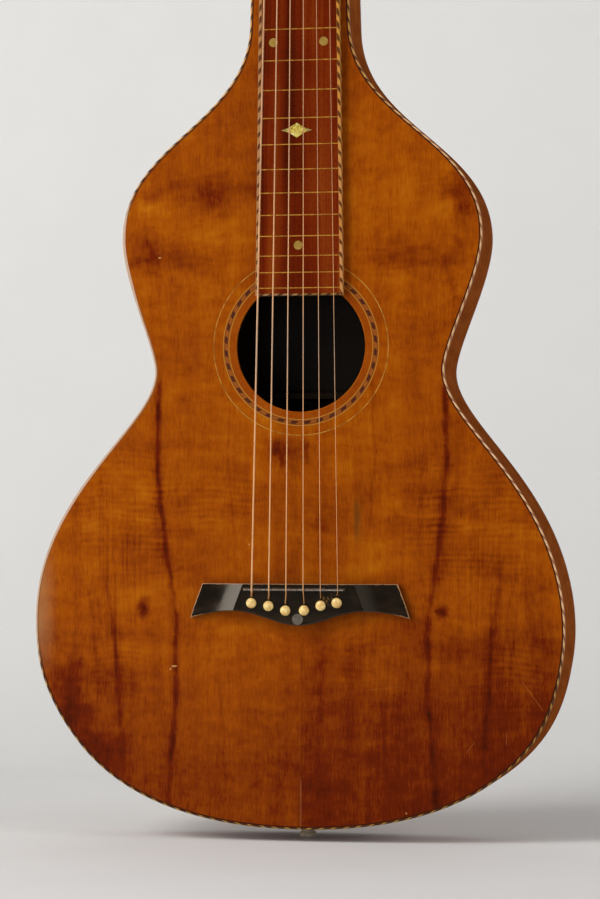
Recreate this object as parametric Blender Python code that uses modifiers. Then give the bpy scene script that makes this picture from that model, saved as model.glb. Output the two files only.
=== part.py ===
"""A Hawaiian guitar with a hollow neck, played flat on the lap.

Every piece is modelled in the guitar's own frame: X to the treble side, Y from the soundboard into the body,
Z from the saddle towards the head, with zero on the soundboard's face under the saddle. The guitar frame then
hangs from the world's origin, which is the point where a wall hanger holds the throat of the head.
"""

import math

import bmesh
import bpy
from mathutils import Matrix
from mathutils import Vector
from mathutils.geometry import interpolate_bezier

MM = 0.001
GAP = 0.3 * MM

# Scale and strings
SCALE_LENGTH = 635 * MM
SEMITONE = 2 ** (-1 / 12)
FRET_COUNT = 19
LAST_FRET_SHIFTS = {18: 1.5 * MM, 19: 3.0 * MM}
STRING_RADII = [0.20 * MM, 0.24 * MM, 0.33 * MM, 0.42 * MM, 0.52 * MM, 0.65 * MM]
SADDLE_STRING_PITCH = 12.4 * MM
SADDLE_STRING_SHIFT = -1.0 * MM
NUT_STRING_PITCH = 8.0 * MM
NUT_STRING_SHIFT = 1.0 * MM
SADDLE_CREST = 16.5 * MM
NUT_CREST = 14.4 * MM

# Body
TOP_THICKNESS = 2.8 * MM
BACK_THICKNESS = 2.8 * MM
SIDE_THICKNESS = 2.0 * MM
NUT_END_Z = 640.7 * MM
TAIL_Z = -171 * MM
TAIL_DEPTH = 76 * MM
NUT_DEPTH = 38 * MM
BACK_SLOPE = (TAIL_DEPTH - NUT_DEPTH) / (NUT_END_Z - TAIL_Z)
NUT_END_HALF_WIDTH = 30.0 * MM
NECK_TAPER = 0.0266
# Each knot of the body's edge: half width, height, and how far its two upright handles reach up and down.
NECK_ROOT = (36.3 * MM, 404.0 * MM, 78.0 * MM, 70.7 * MM)
UPPER_BOUT = (131.1 * MM, 252.0 * MM, 70.2 * MM, 30.0 * MM)
WAIST = (105.3 * MM, 155.8 * MM, 18.6 * MM, 39.4 * MM)
LOWER_BOUT = (192.5 * MM, -26.4 * MM, 97.5 * MM, 54.4 * MM)
TAIL_HANDLE = 161.5 * MM
# The hand-bent body isn't quite even: its middle line, as height and distance to the treble side.
MIDDLE_LINE = [(560 * MM, 0 * MM), (380 * MM, -0.7 * MM), (262 * MM, -0.2 * MM), (160 * MM, -1.7 * MM),
               (20 * MM, -4.1 * MM), (-50 * MM, -3.2 * MM), (-115 * MM, 0 * MM)]
NECK_STEPS = 3
SHOULDER_STEPS = 12
WAIST_STEPS = 7
HIP_STEPS = 10
TAIL_STEPS = 12

# Edge trim, linings and blocks
ROPE_WIDTH = 2.3 * MM
ROPE_DEPTH = 3.0 * MM
LINING_WIDTH = 6.0 * MM
LINING_HEIGHT = 11.0 * MM
LINING_TOE = 1.6 * MM
TAIL_BLOCK_HALF_WIDTH = 30 * MM
TAIL_BLOCK_THICKNESS = 19 * MM
TENON_BOTTOM = 600 * MM
TENON_HALF_WIDTH = 27.6 * MM

# Soundhole and rosette
HOLE_Z = 173.5 * MM
HOLE_RADIUS = 47 * MM
HOLE_SIDES = 40
RING_INNER = 52 * MM
RING_OUTER = 57 * MM
RING_DEPTH = 1.2 * MM
RING_STEPS = 40

# Braces: crossing bars under the soundboard, and straight bars on soundboard and back
BRACE_WIDTH = 8 * MM
BRACE_HEIGHT = 13 * MM
BRACE_END = 3.5 * MM
BRACE_SCOOP = 38 * MM
CROSSING_Z = 92 * MM
CROSSING_ANGLE = math.radians(44)
CROSS_LEG_UP = 134 * MM
CROSS_LEG_DOWN = 212 * MM
UPPER_BRACE = (244 * MM, 112 * MM)
TONE_BAR = (-92 * MM, 158 * MM)
BACK_BRACES = {"back_brace_lower": (-70 * MM, 166 * MM),
               "back_brace_waist": (140 * MM, 92 * MM),
               "back_brace_upper": (252 * MM, 116 * MM)}

# Bridge, saddle and pins
BRIDGE_TOP = 10 * MM
BRIDGE_EDGE_Z = 4.2 * MM
BRIDGE_CORNER = 71.0 * MM
BRIDGE_TIP = (79.6 * MM, -20.5 * MM)
BRIDGE_BLOCK_FOOT = (49 * MM, -15.3 * MM)
BRIDGE_POINT_Z = -25.5 * MM
BLOCK_HALF_WIDTH = 40 * MM
BLOCK_FLARE = 0.325
PLATE_THICKNESS = 3.0 * MM
SADDLE_THICKNESS = 1.3 * MM
SADDLE_HALF_LENGTH = 36.2 * MM
SADDLE_SHIFT = -2.2 * MM
SADDLE_SEAT = 7.2 * MM
PIN_PLACES = [(28.3 * MM, -9.2 * MM), (16.7 * MM, -11.2 * MM), (4.7 * MM, -14.6 * MM),
              (-8.8 * MM, -14.8 * MM), (-21.1 * MM, -11.6 * MM), (-33.5 * MM, -9.6 * MM)]
PIN_HOLE_RADIUS = 3.1 * MM
PIN_HEAD_RADIUS = 3.7 * MM
PIN_SIDES = 10
STRING_SLOT_HALF_WIDTH = 1.0 * MM
STRING_SLOT_END = 5.8 * MM
STRING_FROM_PIN = 4.75 * MM
BALL_RADIUS = 1.7 * MM
BALL_LENGTH = 2.6 * MM

# Fingerboard and nut
BOARD_THICKNESS = 5.2 * MM
BOARD_END_Z = 209.5 * MM
BOARD_END_HALF_WIDTH = 31.8 * MM
BOARD_TAPER = 0.01225
BINDING_WIDTH = 2.3 * MM
FRET_WIDTH = 0.7 * MM
FRET_SLOT_DEPTH = 0.6 * MM
NUT_THICKNESS = 5.4 * MM

# Head, in its own frame: X across, Y into the wood, Z up along the tilted face
HEAD_TILT = math.radians(12)
HEAD_THICKNESS = 15 * MM
HEAD_LENGTH = 166 * MM
HEEL_HANDLE = 13 * MM
HEEL_TOP = 27 * MM
HANGER_Z = 657 * MM
HANGER_Y = 14 * MM
POST_X = 21.5 * MM
POST_HEIGHTS = [46 * MM, 84 * MM, 122 * MM]

# Worm and gear, for each string
GEAR_TEETH = 16
MODULE = 0.8 * MM
GEAR_RADIUS = MODULE * GEAR_TEETH / 2
WORM_PITCH = math.pi * MODULE
WORM_RADIUS = 2.9 * MM
ADDENDUM = 0.6 * MM
DEDENDUM = 0.85 * MM
TOOTH_HALF = 0.46 * MM
FLANK = math.tan(math.radians(20))
GEAR_THICKNESS = 3 * MM
WORM_TURNS = 2
WORM_SIDES = 16
AXLE_Y = 20.6 * MM
WORM_DROP = GEAR_RADIUS + WORM_RADIUS
SHAFT_RADIUS = 1.7 * MM
SHAFT_SIDES = 10
LUG_INNER = 6.2 * MM
LUG_THICKNESS = 1.6 * MM
LUG_RADIUS = 3.2 * MM
LUG_HOLE = 2.08 * MM
STRIP_THICKNESS = 1.2 * MM
STRIP_EDGES = (12.5 * MM, 30.5 * MM)
STRIP_ENDS = (28 * MM, 137 * MM)
STRIP_SCREW_X = 26.5 * MM
STRIP_SCREW_HEIGHTS = [54.5 * MM, 92.5 * MM, 130.5 * MM]
POST_RADIUS = 3.0 * MM
POST_TOP = 13 * MM
BUTTON_START = 16.5 * MM
BUTTON_END = 33 * MM
BUTTON_BORE_END = 25.5 * MM
BUTTON_FLATTEN = 0.5

# Windings of a string on its post
WINDING_TURNS = 2
WINDING_POINTS = 24
WINDING_TOP = 9.5 * MM
WINDING_CLEARANCE = 0.5 * MM

# End pin
END_PIN_Y = 28 * MM
END_PIN_RADIUS = 6.2 * MM
END_PIN_SHANK = 4 * MM


def clear_scene():
    for thing in list(bpy.data.objects):
        bpy.data.objects.remove(thing, do_unlink=True)


def new_collection(name):
    collection = bpy.data.collections.new(name)
    bpy.context.scene.collection.children.link(collection)
    return collection


def new_material(name, colour, roughness, metallic=0.0):
    material = bpy.data.materials.new(name)
    material.use_nodes = True
    shader = material.node_tree.nodes["Principled BSDF"]
    shader.inputs["Base Color"].default_value = (*colour, 1)
    shader.inputs["Roughness"].default_value = roughness
    shader.inputs["Metallic"].default_value = metallic
    return material


def new_empty(name, parent, location=(0, 0, 0), tilt=0.0):
    empty = bpy.data.objects.new(name, None)
    parts.objects.link(empty)
    empty.parent = parent
    empty.location = location
    empty.rotation_euler = (tilt, 0, 0)
    return empty


def add_part(name, mesh, material, parent=None):
    """One named piece of the guitar, placed in the guitar's frame or in the head's."""
    part = bpy.data.objects.new(name, mesh)
    parts.objects.link(part)
    part.parent = parent or guitar
    mesh.materials.clear()
    mesh.materials.append(material)
    return part


def add_cutter(name, mesh, parent=None):
    cutter = bpy.data.objects.new(name, mesh)
    cutters.objects.link(cutter)
    cutter.parent = parent or guitar
    cutter.hide_render = True
    cutter.display_type = "WIRE"
    return cutter


def combine(part, cutter, operation):
    step = part.modifiers.new(cutter.name, "BOOLEAN")
    step.operation = operation
    step.object = cutter


def solid_from(thing):
    """The finished mesh of a curve or of a piece with modifiers, welded. The object itself is removed."""
    bpy.context.view_layer.update()
    finished = thing.evaluated_get(bpy.context.evaluated_depsgraph_get())
    mesh = bpy.data.meshes.new_from_object(finished)
    bpy.data.objects.remove(thing, do_unlink=True)
    work = bmesh.new()
    work.from_mesh(mesh)
    bmesh.ops.remove_doubles(work, verts=work.verts, dist=0.001 * MM)
    work.to_mesh(mesh)
    work.free()
    return mesh


def plate(name, loops, low, high, axis="Y"):
    """A flat outline with its holes, made solid from low to high along an axis.

    A loop's points are (x, z) for a plate square to Y, (y, z) for one square to X, and (x, y) for one
    square to Z.
    """
    curve = bpy.data.curves.new(name, "CURVE")
    curve.dimensions = "2D"
    curve.fill_mode = "BOTH"
    curve.extrude = (high - low) / 2
    for loop in loops:
        spline = curve.splines.new("POLY")
        spline.points.add(len(loop) - 1)
        for point, (across, along) in zip(spline.points, loop):
            point.co = (across, along, 0, 1)
        spline.use_cyclic_u = True
    outline = bpy.data.objects.new(name, curve)
    parts.objects.link(outline)
    mesh = solid_from(outline)
    middle = (low + high) / 2
    turns = {
        "X": Matrix(((0, 0, 1, middle), (1, 0, 0, 0), (0, 1, 0, 0), (0, 0, 0, 1))),
        "Y": Matrix(((1, 0, 0, 0), (0, 0, -1, middle), (0, 1, 0, 0), (0, 0, 0, 1))),
        "Z": Matrix.Translation((0, 0, middle)),
    }
    mesh.transform(turns[axis])
    return mesh


def box(low, high):
    """A rectangular block between two corners."""
    mesh = bpy.data.meshes.new("block")
    work = bmesh.new()
    bmesh.ops.create_cube(work, size=1)
    size = Vector(high) - Vector(low)
    bmesh.ops.scale(work, vec=size, verts=work.verts)
    bmesh.ops.translate(work, vec=(Vector(high) + Vector(low)) / 2, verts=work.verts)
    work.to_mesh(mesh)
    work.free()
    return mesh


def rod(radius, length, sides, matrix):
    """A round bar about the matrix's Z axis, centred on its origin."""
    mesh = bpy.data.meshes.new("bar")
    work = bmesh.new()
    bmesh.ops.create_cone(work, cap_ends=True, segments=sides, radius1=radius, radius2=radius,
                          depth=length, matrix=matrix)
    work.to_mesh(mesh)
    work.free()
    return mesh


def joined(name, meshes):
    """Separate closed meshes gathered into one."""
    work = bmesh.new()
    for mesh in meshes:
        work.from_mesh(mesh)
    whole = bpy.data.meshes.new(name)
    work.to_mesh(whole)
    work.free()
    return whole


def profile_mesh(name, profile):
    """An open line of (radius, height) points, ready to be turned about Z."""
    mesh = bpy.data.meshes.new(name)
    corners = [(radius, 0, height) for radius, height in profile]
    edges = [(index, index + 1) for index in range(len(profile) - 1)]
    mesh.from_pydata(corners, edges, [])
    return mesh


def turn(part, sides):
    """Turns a profile, listed from its top down its outer side, into a round body."""
    step = part.modifiers.new("turned", "SCREW")
    step.steps = sides
    step.render_steps = sides
    step.use_merge_vertices = True
    step.merge_threshold = 0.001 * MM
    step.use_smooth_shade = True


def circle(centre, radius, sides, start=0.0):
    step = 2 * math.pi / sides
    return [(centre[0] + radius * math.cos(start + step * index),
             centre[1] + radius * math.sin(start + step * index)) for index in range(sides)]


def bezier(start, start_handle, end_handle, end, steps):
    """Points on a cubic span in a plane, from its start up to, but without, its end."""
    points = interpolate_bezier(*(Vector((x, y, 0)) for x, y in (start, start_handle, end_handle, end)),
                                steps + 1)
    return [(point.x, point.y) for point in points[:-1]]


def depth_at(z):
    """How far behind the soundboard's face the back's outer face lies."""
    return NUT_DEPTH + BACK_SLOPE * (NUT_END_Z - z)


def body_edge():
    """The body's treble edge as (x, z), from the nut end down to the middle of the tail."""
    edge = bezier((NUT_END_HALF_WIDTH, NUT_END_Z),
                  (NUT_END_HALF_WIDTH + NECK_TAPER * NECK_ROOT[2], NUT_END_Z - NECK_ROOT[2]),
                  (NECK_ROOT[0] - NECK_TAPER * NECK_ROOT[2], NECK_ROOT[1] + NECK_ROOT[2]),
                  NECK_ROOT[:2], NECK_STEPS)
    edge += bezier(NECK_ROOT[:2],
                   (NECK_ROOT[0] + NECK_TAPER * NECK_ROOT[3], NECK_ROOT[1] - NECK_ROOT[3]),
                   (UPPER_BOUT[0], UPPER_BOUT[1] + UPPER_BOUT[2]), UPPER_BOUT[:2], SHOULDER_STEPS)
    edge += bezier(UPPER_BOUT[:2], (UPPER_BOUT[0], UPPER_BOUT[1] - UPPER_BOUT[3]),
                   (WAIST[0], WAIST[1] + WAIST[2]), WAIST[:2], WAIST_STEPS)
    edge += bezier(WAIST[:2], (WAIST[0], WAIST[1] - WAIST[3]),
                   (LOWER_BOUT[0], LOWER_BOUT[1] + LOWER_BOUT[2]), LOWER_BOUT[:2], HIP_STEPS)
    edge += bezier(LOWER_BOUT[:2], (LOWER_BOUT[0], LOWER_BOUT[1] - LOWER_BOUT[3]),
                   (TAIL_HANDLE, TAIL_Z), (0, TAIL_Z), TAIL_STEPS)
    return edge + [(0, TAIL_Z)]


def inset(edge, distance):
    """The treble edge moved inwards, square to itself."""
    moved = []
    last = len(edge) - 1
    for index, (x, z) in enumerate(edge):
        before = edge[max(index - 1, 0)]
        after = edge[index + 1] if index < last else (-before[0], before[1])
        along = Vector((after[0] - before[0], after[1] - before[1])).normalized()
        moved.append((x + along.y * distance, z - along.x * distance))
    moved[0] = (moved[0][0], edge[0][1])
    return moved


def both_halves(half):
    """A closed loop from its treble half, whose last point lies on the centre line."""
    return half + [(-x, z) for x, z in reversed(half[:-1])]


def mirrored(loop):
    return [(-x, z) for x, z in reversed(loop)]


def stray(z):
    """How far the middle of the body lies to the treble side at a height."""
    for (high, x_high), (low, x_low) in zip(MIDDLE_LINE, MIDDLE_LINE[1:]):
        if low <= z <= high:
            share = (high - z) / (high - low)
            return x_high + (x_low - x_high) * share * share * (3 - 2 * share)
    return 0.0


def strayed(loop):
    return [(x + stray(z), z) for x, z in loop]


def stop_at(half, least_x):
    """The treble half down to where its tail comes in to least_x from the centre line."""
    kept = [point for point in half if point[0] > least_x or point[1] > 0]
    inner = half[len(kept)]
    outer = kept[-1]
    share = (outer[0] - least_x) / (outer[0] - inner[0])
    return kept + [(least_x, outer[1] + share * (inner[1] - outer[1]))]


def start_at(half, highest):
    """The part of the treble half below a height, begun exactly there."""
    kept = [point for point in half if point[1] < highest]
    above = half[len(half) - len(kept) - 1]
    share = (above[1] - highest) / (above[1] - kept[0][1])
    return [(above[0] + share * (kept[0][0] - above[0]), highest)] + kept


def lean_on_back(mesh, front=None, rear=None):
    """Slides the front or rear corners of a plate on to a plane that is parallel to the back."""
    middle = sum(corner.co.y for corner in mesh.vertices) / len(mesh.vertices)
    for corner in mesh.vertices:
        offset = rear if corner.co.y > middle else front
        if offset is not None:
            corner.co.y = depth_at(corner.co.z) - offset


def keyhole(x, z):
    """A pin's hole with the slot above it in which the string lies."""
    half_angle = math.asin(STRING_SLOT_HALF_WIDTH / PIN_HOLE_RADIUS)
    start = math.pi / 2 + half_angle
    sweep = 2 * math.pi - 2 * half_angle
    arc = [(x + PIN_HOLE_RADIUS * math.cos(start + sweep * index / PIN_SIDES),
            z + PIN_HOLE_RADIUS * math.sin(start + sweep * index / PIN_SIDES))
           for index in range(PIN_SIDES + 1)]
    slot = [(x + STRING_SLOT_HALF_WIDTH, z + STRING_SLOT_END), (x - STRING_SLOT_HALF_WIDTH, z + STRING_SLOT_END)]
    return arc + slot


def make_soundboard(edge):
    loop = strayed(both_halves(inset(edge, ROPE_WIDTH + GAP)))
    hole = circle((0, HOLE_Z), HOLE_RADIUS, HOLE_SIDES)
    keyholes = [keyhole(x, z) for x, z in PIN_PLACES]
    board = add_part("soundboard", plate("soundboard", [loop, hole] + keyholes, 0, TOP_THICKNESS), koa)
    channel = [(RING_OUTER + GAP, 1 * MM), (RING_OUTER + GAP, -RING_DEPTH - GAP),
               (RING_INNER - GAP, -RING_DEPTH - GAP), (RING_INNER - GAP, 1 * MM), (RING_OUTER + GAP, 1 * MM)]
    cutter = add_cutter("rosette_channel", profile_mesh("rosette_channel", channel))
    face_forward(cutter, 0, HOLE_Z)
    turn(cutter, RING_STEPS)
    combine(board, cutter, "DIFFERENCE")
    rope = [(RING_OUTER, 0), (RING_OUTER, -RING_DEPTH), (RING_INNER, -RING_DEPTH), (RING_INNER, 0), (RING_OUTER, 0)]
    ring = add_part("rosette_rope_ring", profile_mesh("rosette_rope_ring", rope), rope_wood)
    face_forward(ring, 0, HOLE_Z)
    turn(ring, RING_STEPS)


def face_forward(part, x, z, y=0.0):
    """Stands a turned piece at (x, z), with its own Z axis pointing out of the soundboard."""
    part.location = (x, y, z)
    part.rotation_euler = (math.pi / 2, 0, 0)


def make_back(edge):
    mesh = plate("back", [strayed(both_halves(edge))], 0, BACK_THICKNESS)
    lean_on_back(mesh, front=BACK_THICKNESS, rear=0)
    add_part("back", mesh, koa)


def make_sides(edge, pin_cutter):
    outer = edge[:-1] + [(GAP / 2, TAIL_Z)]
    inner = inset(edge, SIDE_THICKNESS)
    inner[-1] = (GAP / 2, inner[-1][1])
    loop = outer + inner[::-1]
    for name, points in (("side_treble", loop), ("side_bass", mirrored(loop))):
        mesh = plate(name, [strayed(points)], ROPE_DEPTH + GAP, NUT_DEPTH)
        lean_on_back(mesh, rear=BACK_THICKNESS + GAP)
        combine(add_part(name, mesh, side_koa), pin_cutter, "DIFFERENCE")


def make_rope_bindings(edge):
    outer = edge[:-1] + [(GAP / 2, TAIL_Z)]
    inner = inset(edge, ROPE_WIDTH)
    inner[-1] = (GAP / 2, inner[-1][1])
    loop = outer + inner[::-1]
    for name, points in (("rope_binding_treble", loop), ("rope_binding_bass", mirrored(loop))):
        add_part(name, plate(name, [strayed(points)], 0, ROPE_DEPTH), rope_wood)


def make_linings(edge):
    """Bent strips that glue the soundboard and the back to the sides, thinner at the toe."""
    reach = TAIL_BLOCK_HALF_WIDTH + GAP
    top = TENON_BOTTOM - GAP

    def strip(distance):
        return start_at(stop_at(inset(edge, distance), reach), top)

    wall = strip(SIDE_THICKNESS + GAP)
    face = strip(SIDE_THICKNESS + GAP + LINING_WIDTH)
    toe = strip(SIDE_THICKNESS + GAP + LINING_TOE)
    loop = wall + face[::-1]
    for side, points, sign in (("treble", loop, 1), ("bass", mirrored(loop), -1)):
        for plane in ("top", "back"):
            name = f"{plane}_lining_{side}"
            mesh = plate(name, [points], 0, LINING_HEIGHT)
            for corner in mesh.vertices:
                at_toe = (corner.co.y > LINING_HEIGHT / 2) == (plane == "top")
                spots = [index for index, (x, z) in enumerate(face)
                         if abs(x * sign - corner.co.x) < 0.01 * MM and abs(z - corner.co.z) < 0.01 * MM]
                if at_toe and spots:
                    corner.co.x = toe[spots[0]][0] * sign
                    corner.co.z = toe[spots[0]][1]
            shift = TOP_THICKNESS + GAP
            for corner in mesh.vertices:
                corner.co.x += stray(corner.co.z)
                if plane == "top":
                    corner.co.y += shift
                else:
                    corner.co.y += depth_at(corner.co.z) - BACK_THICKNESS - GAP - LINING_HEIGHT
            add_part(name, mesh, mahogany)


def make_tail_block(edge, pin_cutter):
    reach = TAIL_BLOCK_HALF_WIDTH
    curve = inset(edge, SIDE_THICKNESS + GAP)
    below = [(x, z) for x, z in curve if x < reach and z < 0]
    corner = stop_at(curve, reach)[-1]
    top = TAIL_Z + SIDE_THICKNESS + TAIL_BLOCK_THICKNESS
    loop = both_halves([(reach, top), corner] + below)
    mesh = plate("tail_block", [loop], TOP_THICKNESS + GAP, NUT_DEPTH)
    lean_on_back(mesh, rear=BACK_THICKNESS + GAP)
    combine(add_part("tail_block", mesh, mahogany), pin_cutter, "DIFFERENCE")


def brace_mesh(name, low, high):
    """A bar along Z from low to high, glued at Y = 0, peaked, with scooped ends."""
    scoop = BRACE_SCOOP
    heel = bezier((BRACE_END, low), (BRACE_END, low + scoop * 0.6), (BRACE_HEIGHT, low + scoop * 0.5),
                  (BRACE_HEIGHT, low + scoop), 3)
    toe = [(y, low + high - z) for y, z in reversed(heel)]
    loop = [(0, low)] + heel + [(BRACE_HEIGHT, low + scoop), (BRACE_HEIGHT, high - scoop)] + toe + [(0, high)]
    mesh = plate(name, [loop], -BRACE_WIDTH / 2, BRACE_WIDTH / 2, "X")
    for corner in mesh.vertices:
        corner.co.x *= 1 - 0.5 * corner.co.y / BRACE_HEIGHT
    return mesh


def make_top_braces():
    under = TOP_THICKNESS + GAP
    notch = BRACE_WIDTH / 2 + GAP
    places = {"x_brace_treble": (CROSSING_ANGLE, 0.5), "x_brace_bass": (-CROSSING_ANGLE, -0.5)}
    for name, (angle, level) in places.items():
        bar = add_part(name, brace_mesh(name, -CROSS_LEG_DOWN, CROSS_LEG_UP), spruce)
        bar.location = (0, under, CROSSING_Z)
        bar.rotation_euler = (0, angle, 0)
        # Half of each bar's height is let into the other where they cross.
        low = BRACE_HEIGHT / 2 - GAP / 2 if level > 0 else -1 * MM
        high = BRACE_HEIGHT + 1 * MM if level > 0 else BRACE_HEIGHT / 2 + GAP / 2
        lap = add_cutter(name + "_lap", box((-notch, low, -20 * MM), (notch, high, 20 * MM)))
        lap.location = bar.location
        lap.rotation_euler = (0, -angle, 0)
        combine(bar, lap, "DIFFERENCE")
    for name, (z, half_length) in {"upper_brace": UPPER_BRACE, "tone_bar": TONE_BAR}.items():
        bar = add_part(name, brace_mesh(name, -half_length, half_length), spruce)
        bar.location = (stray(z), under, z)
        bar.rotation_euler = (0, math.pi / 2, 0)


def make_back_braces():
    slope = math.atan(BACK_SLOPE)
    for name, (z, half_length) in BACK_BRACES.items():
        mesh = brace_mesh(name, -half_length, half_length)
        mesh.transform(Matrix.Rotation(math.pi, 4, "Z"))
        mesh.transform(Matrix.Rotation(math.pi / 2, 4, "Y"))
        bar = add_part(name, mesh, spruce)
        bar.location = (stray(z), depth_at(z) - (BACK_THICKNESS + GAP) / math.cos(slope), z)
        bar.rotation_euler = (slope, 0, 0)


def make_bridge():
    """A block with scooped wings, whose lower edge is drawn to a point under the pins."""
    end = bezier((BRIDGE_CORNER, BRIDGE_EDGE_Z), (73.6 * MM, -3.5 * MM), (77.8 * MM, -13 * MM), BRIDGE_TIP, 4)
    wing = bezier(BRIDGE_TIP, (69 * MM, -17.4 * MM), (60 * MM, -15.6 * MM), BRIDGE_BLOCK_FOOT, 3)
    ogee = bezier(BRIDGE_BLOCK_FOOT, (30 * MM, -14.8 * MM), (17 * MM, -25.4 * MM), (0, BRIDGE_POINT_Z), 7)
    half = end + wing + ogee + [(0, BRIDGE_POINT_Z)]
    outline = add_cutter("bridge_outline", plate("bridge_outline", [both_halves(half)], -20 * MM, 0))
    crest = -BRIDGE_TOP
    scoop = bezier((BLOCK_HALF_WIDTH, crest), (BLOCK_HALF_WIDTH + 5 * MM, crest + 3.6 * MM),
                   (54 * MM, crest + 5.0 * MM), (68 * MM, crest + 5.4 * MM), 5)
    section = [(-20 * MM, -GAP), (-20 * MM, crest)] + scoop + [(95 * MM, crest + 6.0 * MM), (95 * MM, -GAP)]
    mesh = plate("bridge", [section], -32 * MM, 10 * MM, "Z")
    for corner in mesh.vertices:
        corner.co.x += BLOCK_FLARE * (BRIDGE_EDGE_Z - corner.co.z)
    bridge = add_part("bridge", mesh, ebony)
    mirror = bridge.modifiers.new("two_wings", "MIRROR")
    mirror.use_axis = (True, False, False)
    mirror.use_bisect_axis = (True, False, False)
    mirror.merge_threshold = 0.001 * MM
    combine(bridge, outline, "INTERSECT")
    half_slot = SADDLE_THICKNESS / 2 + GAP
    middle = SADDLE_SHIFT
    slot = add_cutter("saddle_slot", box(
        (middle - SADDLE_HALF_LENGTH - 1.5 * MM, -20 * MM, -half_slot),
        (middle + SADDLE_HALF_LENGTH + GAP, -SADDLE_SEAT + GAP, half_slot)))
    combine(bridge, slot, "DIFFERENCE")
    loops = [plate(f"hole_{index}", [keyhole(x, z)], -20 * MM, 2 * MM) for index, (x, z) in enumerate(PIN_PLACES)]
    combine(bridge, add_cutter("pin_holes", joined("pin_holes", loops)), "DIFFERENCE")
    round_top = SADDLE_THICKNESS / 2
    base = [(-SADDLE_SEAT, -round_top), (-SADDLE_SEAT, round_top)]
    crown = [(-SADDLE_CREST + round_top - round_top * math.sin(angle), round_top * math.cos(angle))
             for angle in (math.radians(30 * step) for step in range(7))]
    add_part("saddle", plate("saddle", [base + crown], middle - SADDLE_HALF_LENGTH,
                             middle + SADDLE_HALF_LENGTH, "X"), steel)
    under = TOP_THICKNESS + GAP
    patch = [(62 * MM, 10 * MM), (62 * MM, -32 * MM), (-62 * MM, -32 * MM), (-62 * MM, 10 * MM)]
    keyholes = [keyhole(x, z) for x, z in PIN_PLACES]
    add_part("bridge_plate", plate("bridge_plate", [patch] + keyholes, under, under + PLATE_THICKNESS), maple)


def make_pins():
    head = PIN_HEAD_RADIUS
    profile = [(0, 3.9 * MM), (head * 0.5, 3.5 * MM), (head * 0.87, 2.5 * MM), (head, 1.3 * MM), (head * 0.9, GAP),
               (2.7 * MM, GAP), (2.25 * MM, -18 * MM), (1.6 * MM, -19 * MM), (0, -19 * MM)]
    for index, (x, z) in enumerate(PIN_PLACES):
        name = f"bridge_pin_{index + 1}"
        pin = add_part(name, profile_mesh(name, profile), ivory)
        face_forward(pin, x, z, -BRIDGE_TOP)
        turn(pin, PIN_SIDES)


def fret_height(number):
    return SCALE_LENGTH * SEMITONE ** number + LAST_FRET_SHIFTS.get(number, 0)


def board_half_width(z):
    return BOARD_END_HALF_WIDTH - BOARD_TAPER * (z - BOARD_END_Z)


def make_fingerboard():
    top = SCALE_LENGTH - GAP
    front = -GAP - BOARD_THICKNESS
    inner_end = BOARD_END_HALF_WIDTH - BINDING_WIDTH - GAP
    inner_top = board_half_width(top) - BINDING_WIDTH - GAP
    loop = [(-inner_end, BOARD_END_Z), (inner_end, BOARD_END_Z), (inner_top, top), (-inner_top, top)]
    board = add_part("fingerboard", plate("fingerboard", [loop], front, -GAP), rosewood)
    slots = []
    for number in range(1, FRET_COUNT + 1):
        z = fret_height(number)
        slots.append(box((-40 * MM, front - 1 * MM, z - FRET_WIDTH / 2),
                         (40 * MM, front + FRET_SLOT_DEPTH, z + FRET_WIDTH / 2)))
    combine(board, add_cutter("fret_slots", joined("fret_slots", slots)), "DIFFERENCE")
    strip = [(inner_end + GAP, BOARD_END_Z), (BOARD_END_HALF_WIDTH, BOARD_END_Z),
             (board_half_width(top), top), (inner_top + GAP, top)]
    for name, points in (("fingerboard_binding_treble", strip), ("fingerboard_binding_bass", mirrored(strip))):
        add_part(name, plate(name, [points], front, -GAP), rope_wood)


def nut_x(index):
    return NUT_STRING_SHIFT + NUT_STRING_PITCH * (2.5 - index)


def saddle_x(index):
    return SADDLE_STRING_SHIFT + SADDLE_STRING_PITCH * (2.5 - index)


def make_nut():
    """A tall nut that lifts the strings clear of the board, with a sloping rear and a notch for each string."""
    base = SCALE_LENGTH
    section = [(-GAP, base), (-NUT_CREST - 0.5 * MM, base), (-NUT_CREST - 0.5 * MM, base + 1.6 * MM),
               (-NUT_CREST + 3.2 * MM, base + NUT_THICKNESS), (-GAP, base + NUT_THICKNESS)]
    half = board_half_width(SCALE_LENGTH)
    nut = add_part("nut", plate("nut", [section], -half, half, "X"), bone)
    notches = []
    for index, radius in enumerate(STRING_RADII):
        notches.append(box((nut_x(index) - radius - GAP, -30 * MM, base - 2 * MM),
                           (nut_x(index) + radius + GAP, -NUT_CREST + radius + GAP, base + 8 * MM)))
    combine(nut, add_cutter("string_notches", joined("string_notches", notches)), "DIFFERENCE")


def head_outline():
    """The head's treble edge in its own frame, from below its root up to the middle of its crest."""
    side = [(30.0 * MM, -25 * MM), (30.0 * MM, 0)]
    side += bezier((30.0 * MM, 1 * MM), (29.4 * MM, 8 * MM), (29.2 * MM, 14 * MM), (32.2 * MM, 24 * MM), 4)
    side += bezier((32.2 * MM, 24 * MM), (34.6 * MM, 32 * MM), (33.2 * MM, 60 * MM), (33.0 * MM, 88 * MM), 5)
    side += bezier((33.0 * MM, 88 * MM), (32.9 * MM, 116 * MM), (36.5 * MM, 136 * MM), (38.0 * MM, 150 * MM), 5)
    crest = bezier((38.0 * MM, 150 * MM), (36.0 * MM, 160 * MM), (22 * MM, 158 * MM), (14 * MM, 160 * MM), 5)
    peak = bezier((14 * MM, 160 * MM), (9 * MM, 161.5 * MM), (6 * MM, HEAD_LENGTH), (0, HEAD_LENGTH), 4)
    return side + crest + peak + [(0, HEAD_LENGTH)]


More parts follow.
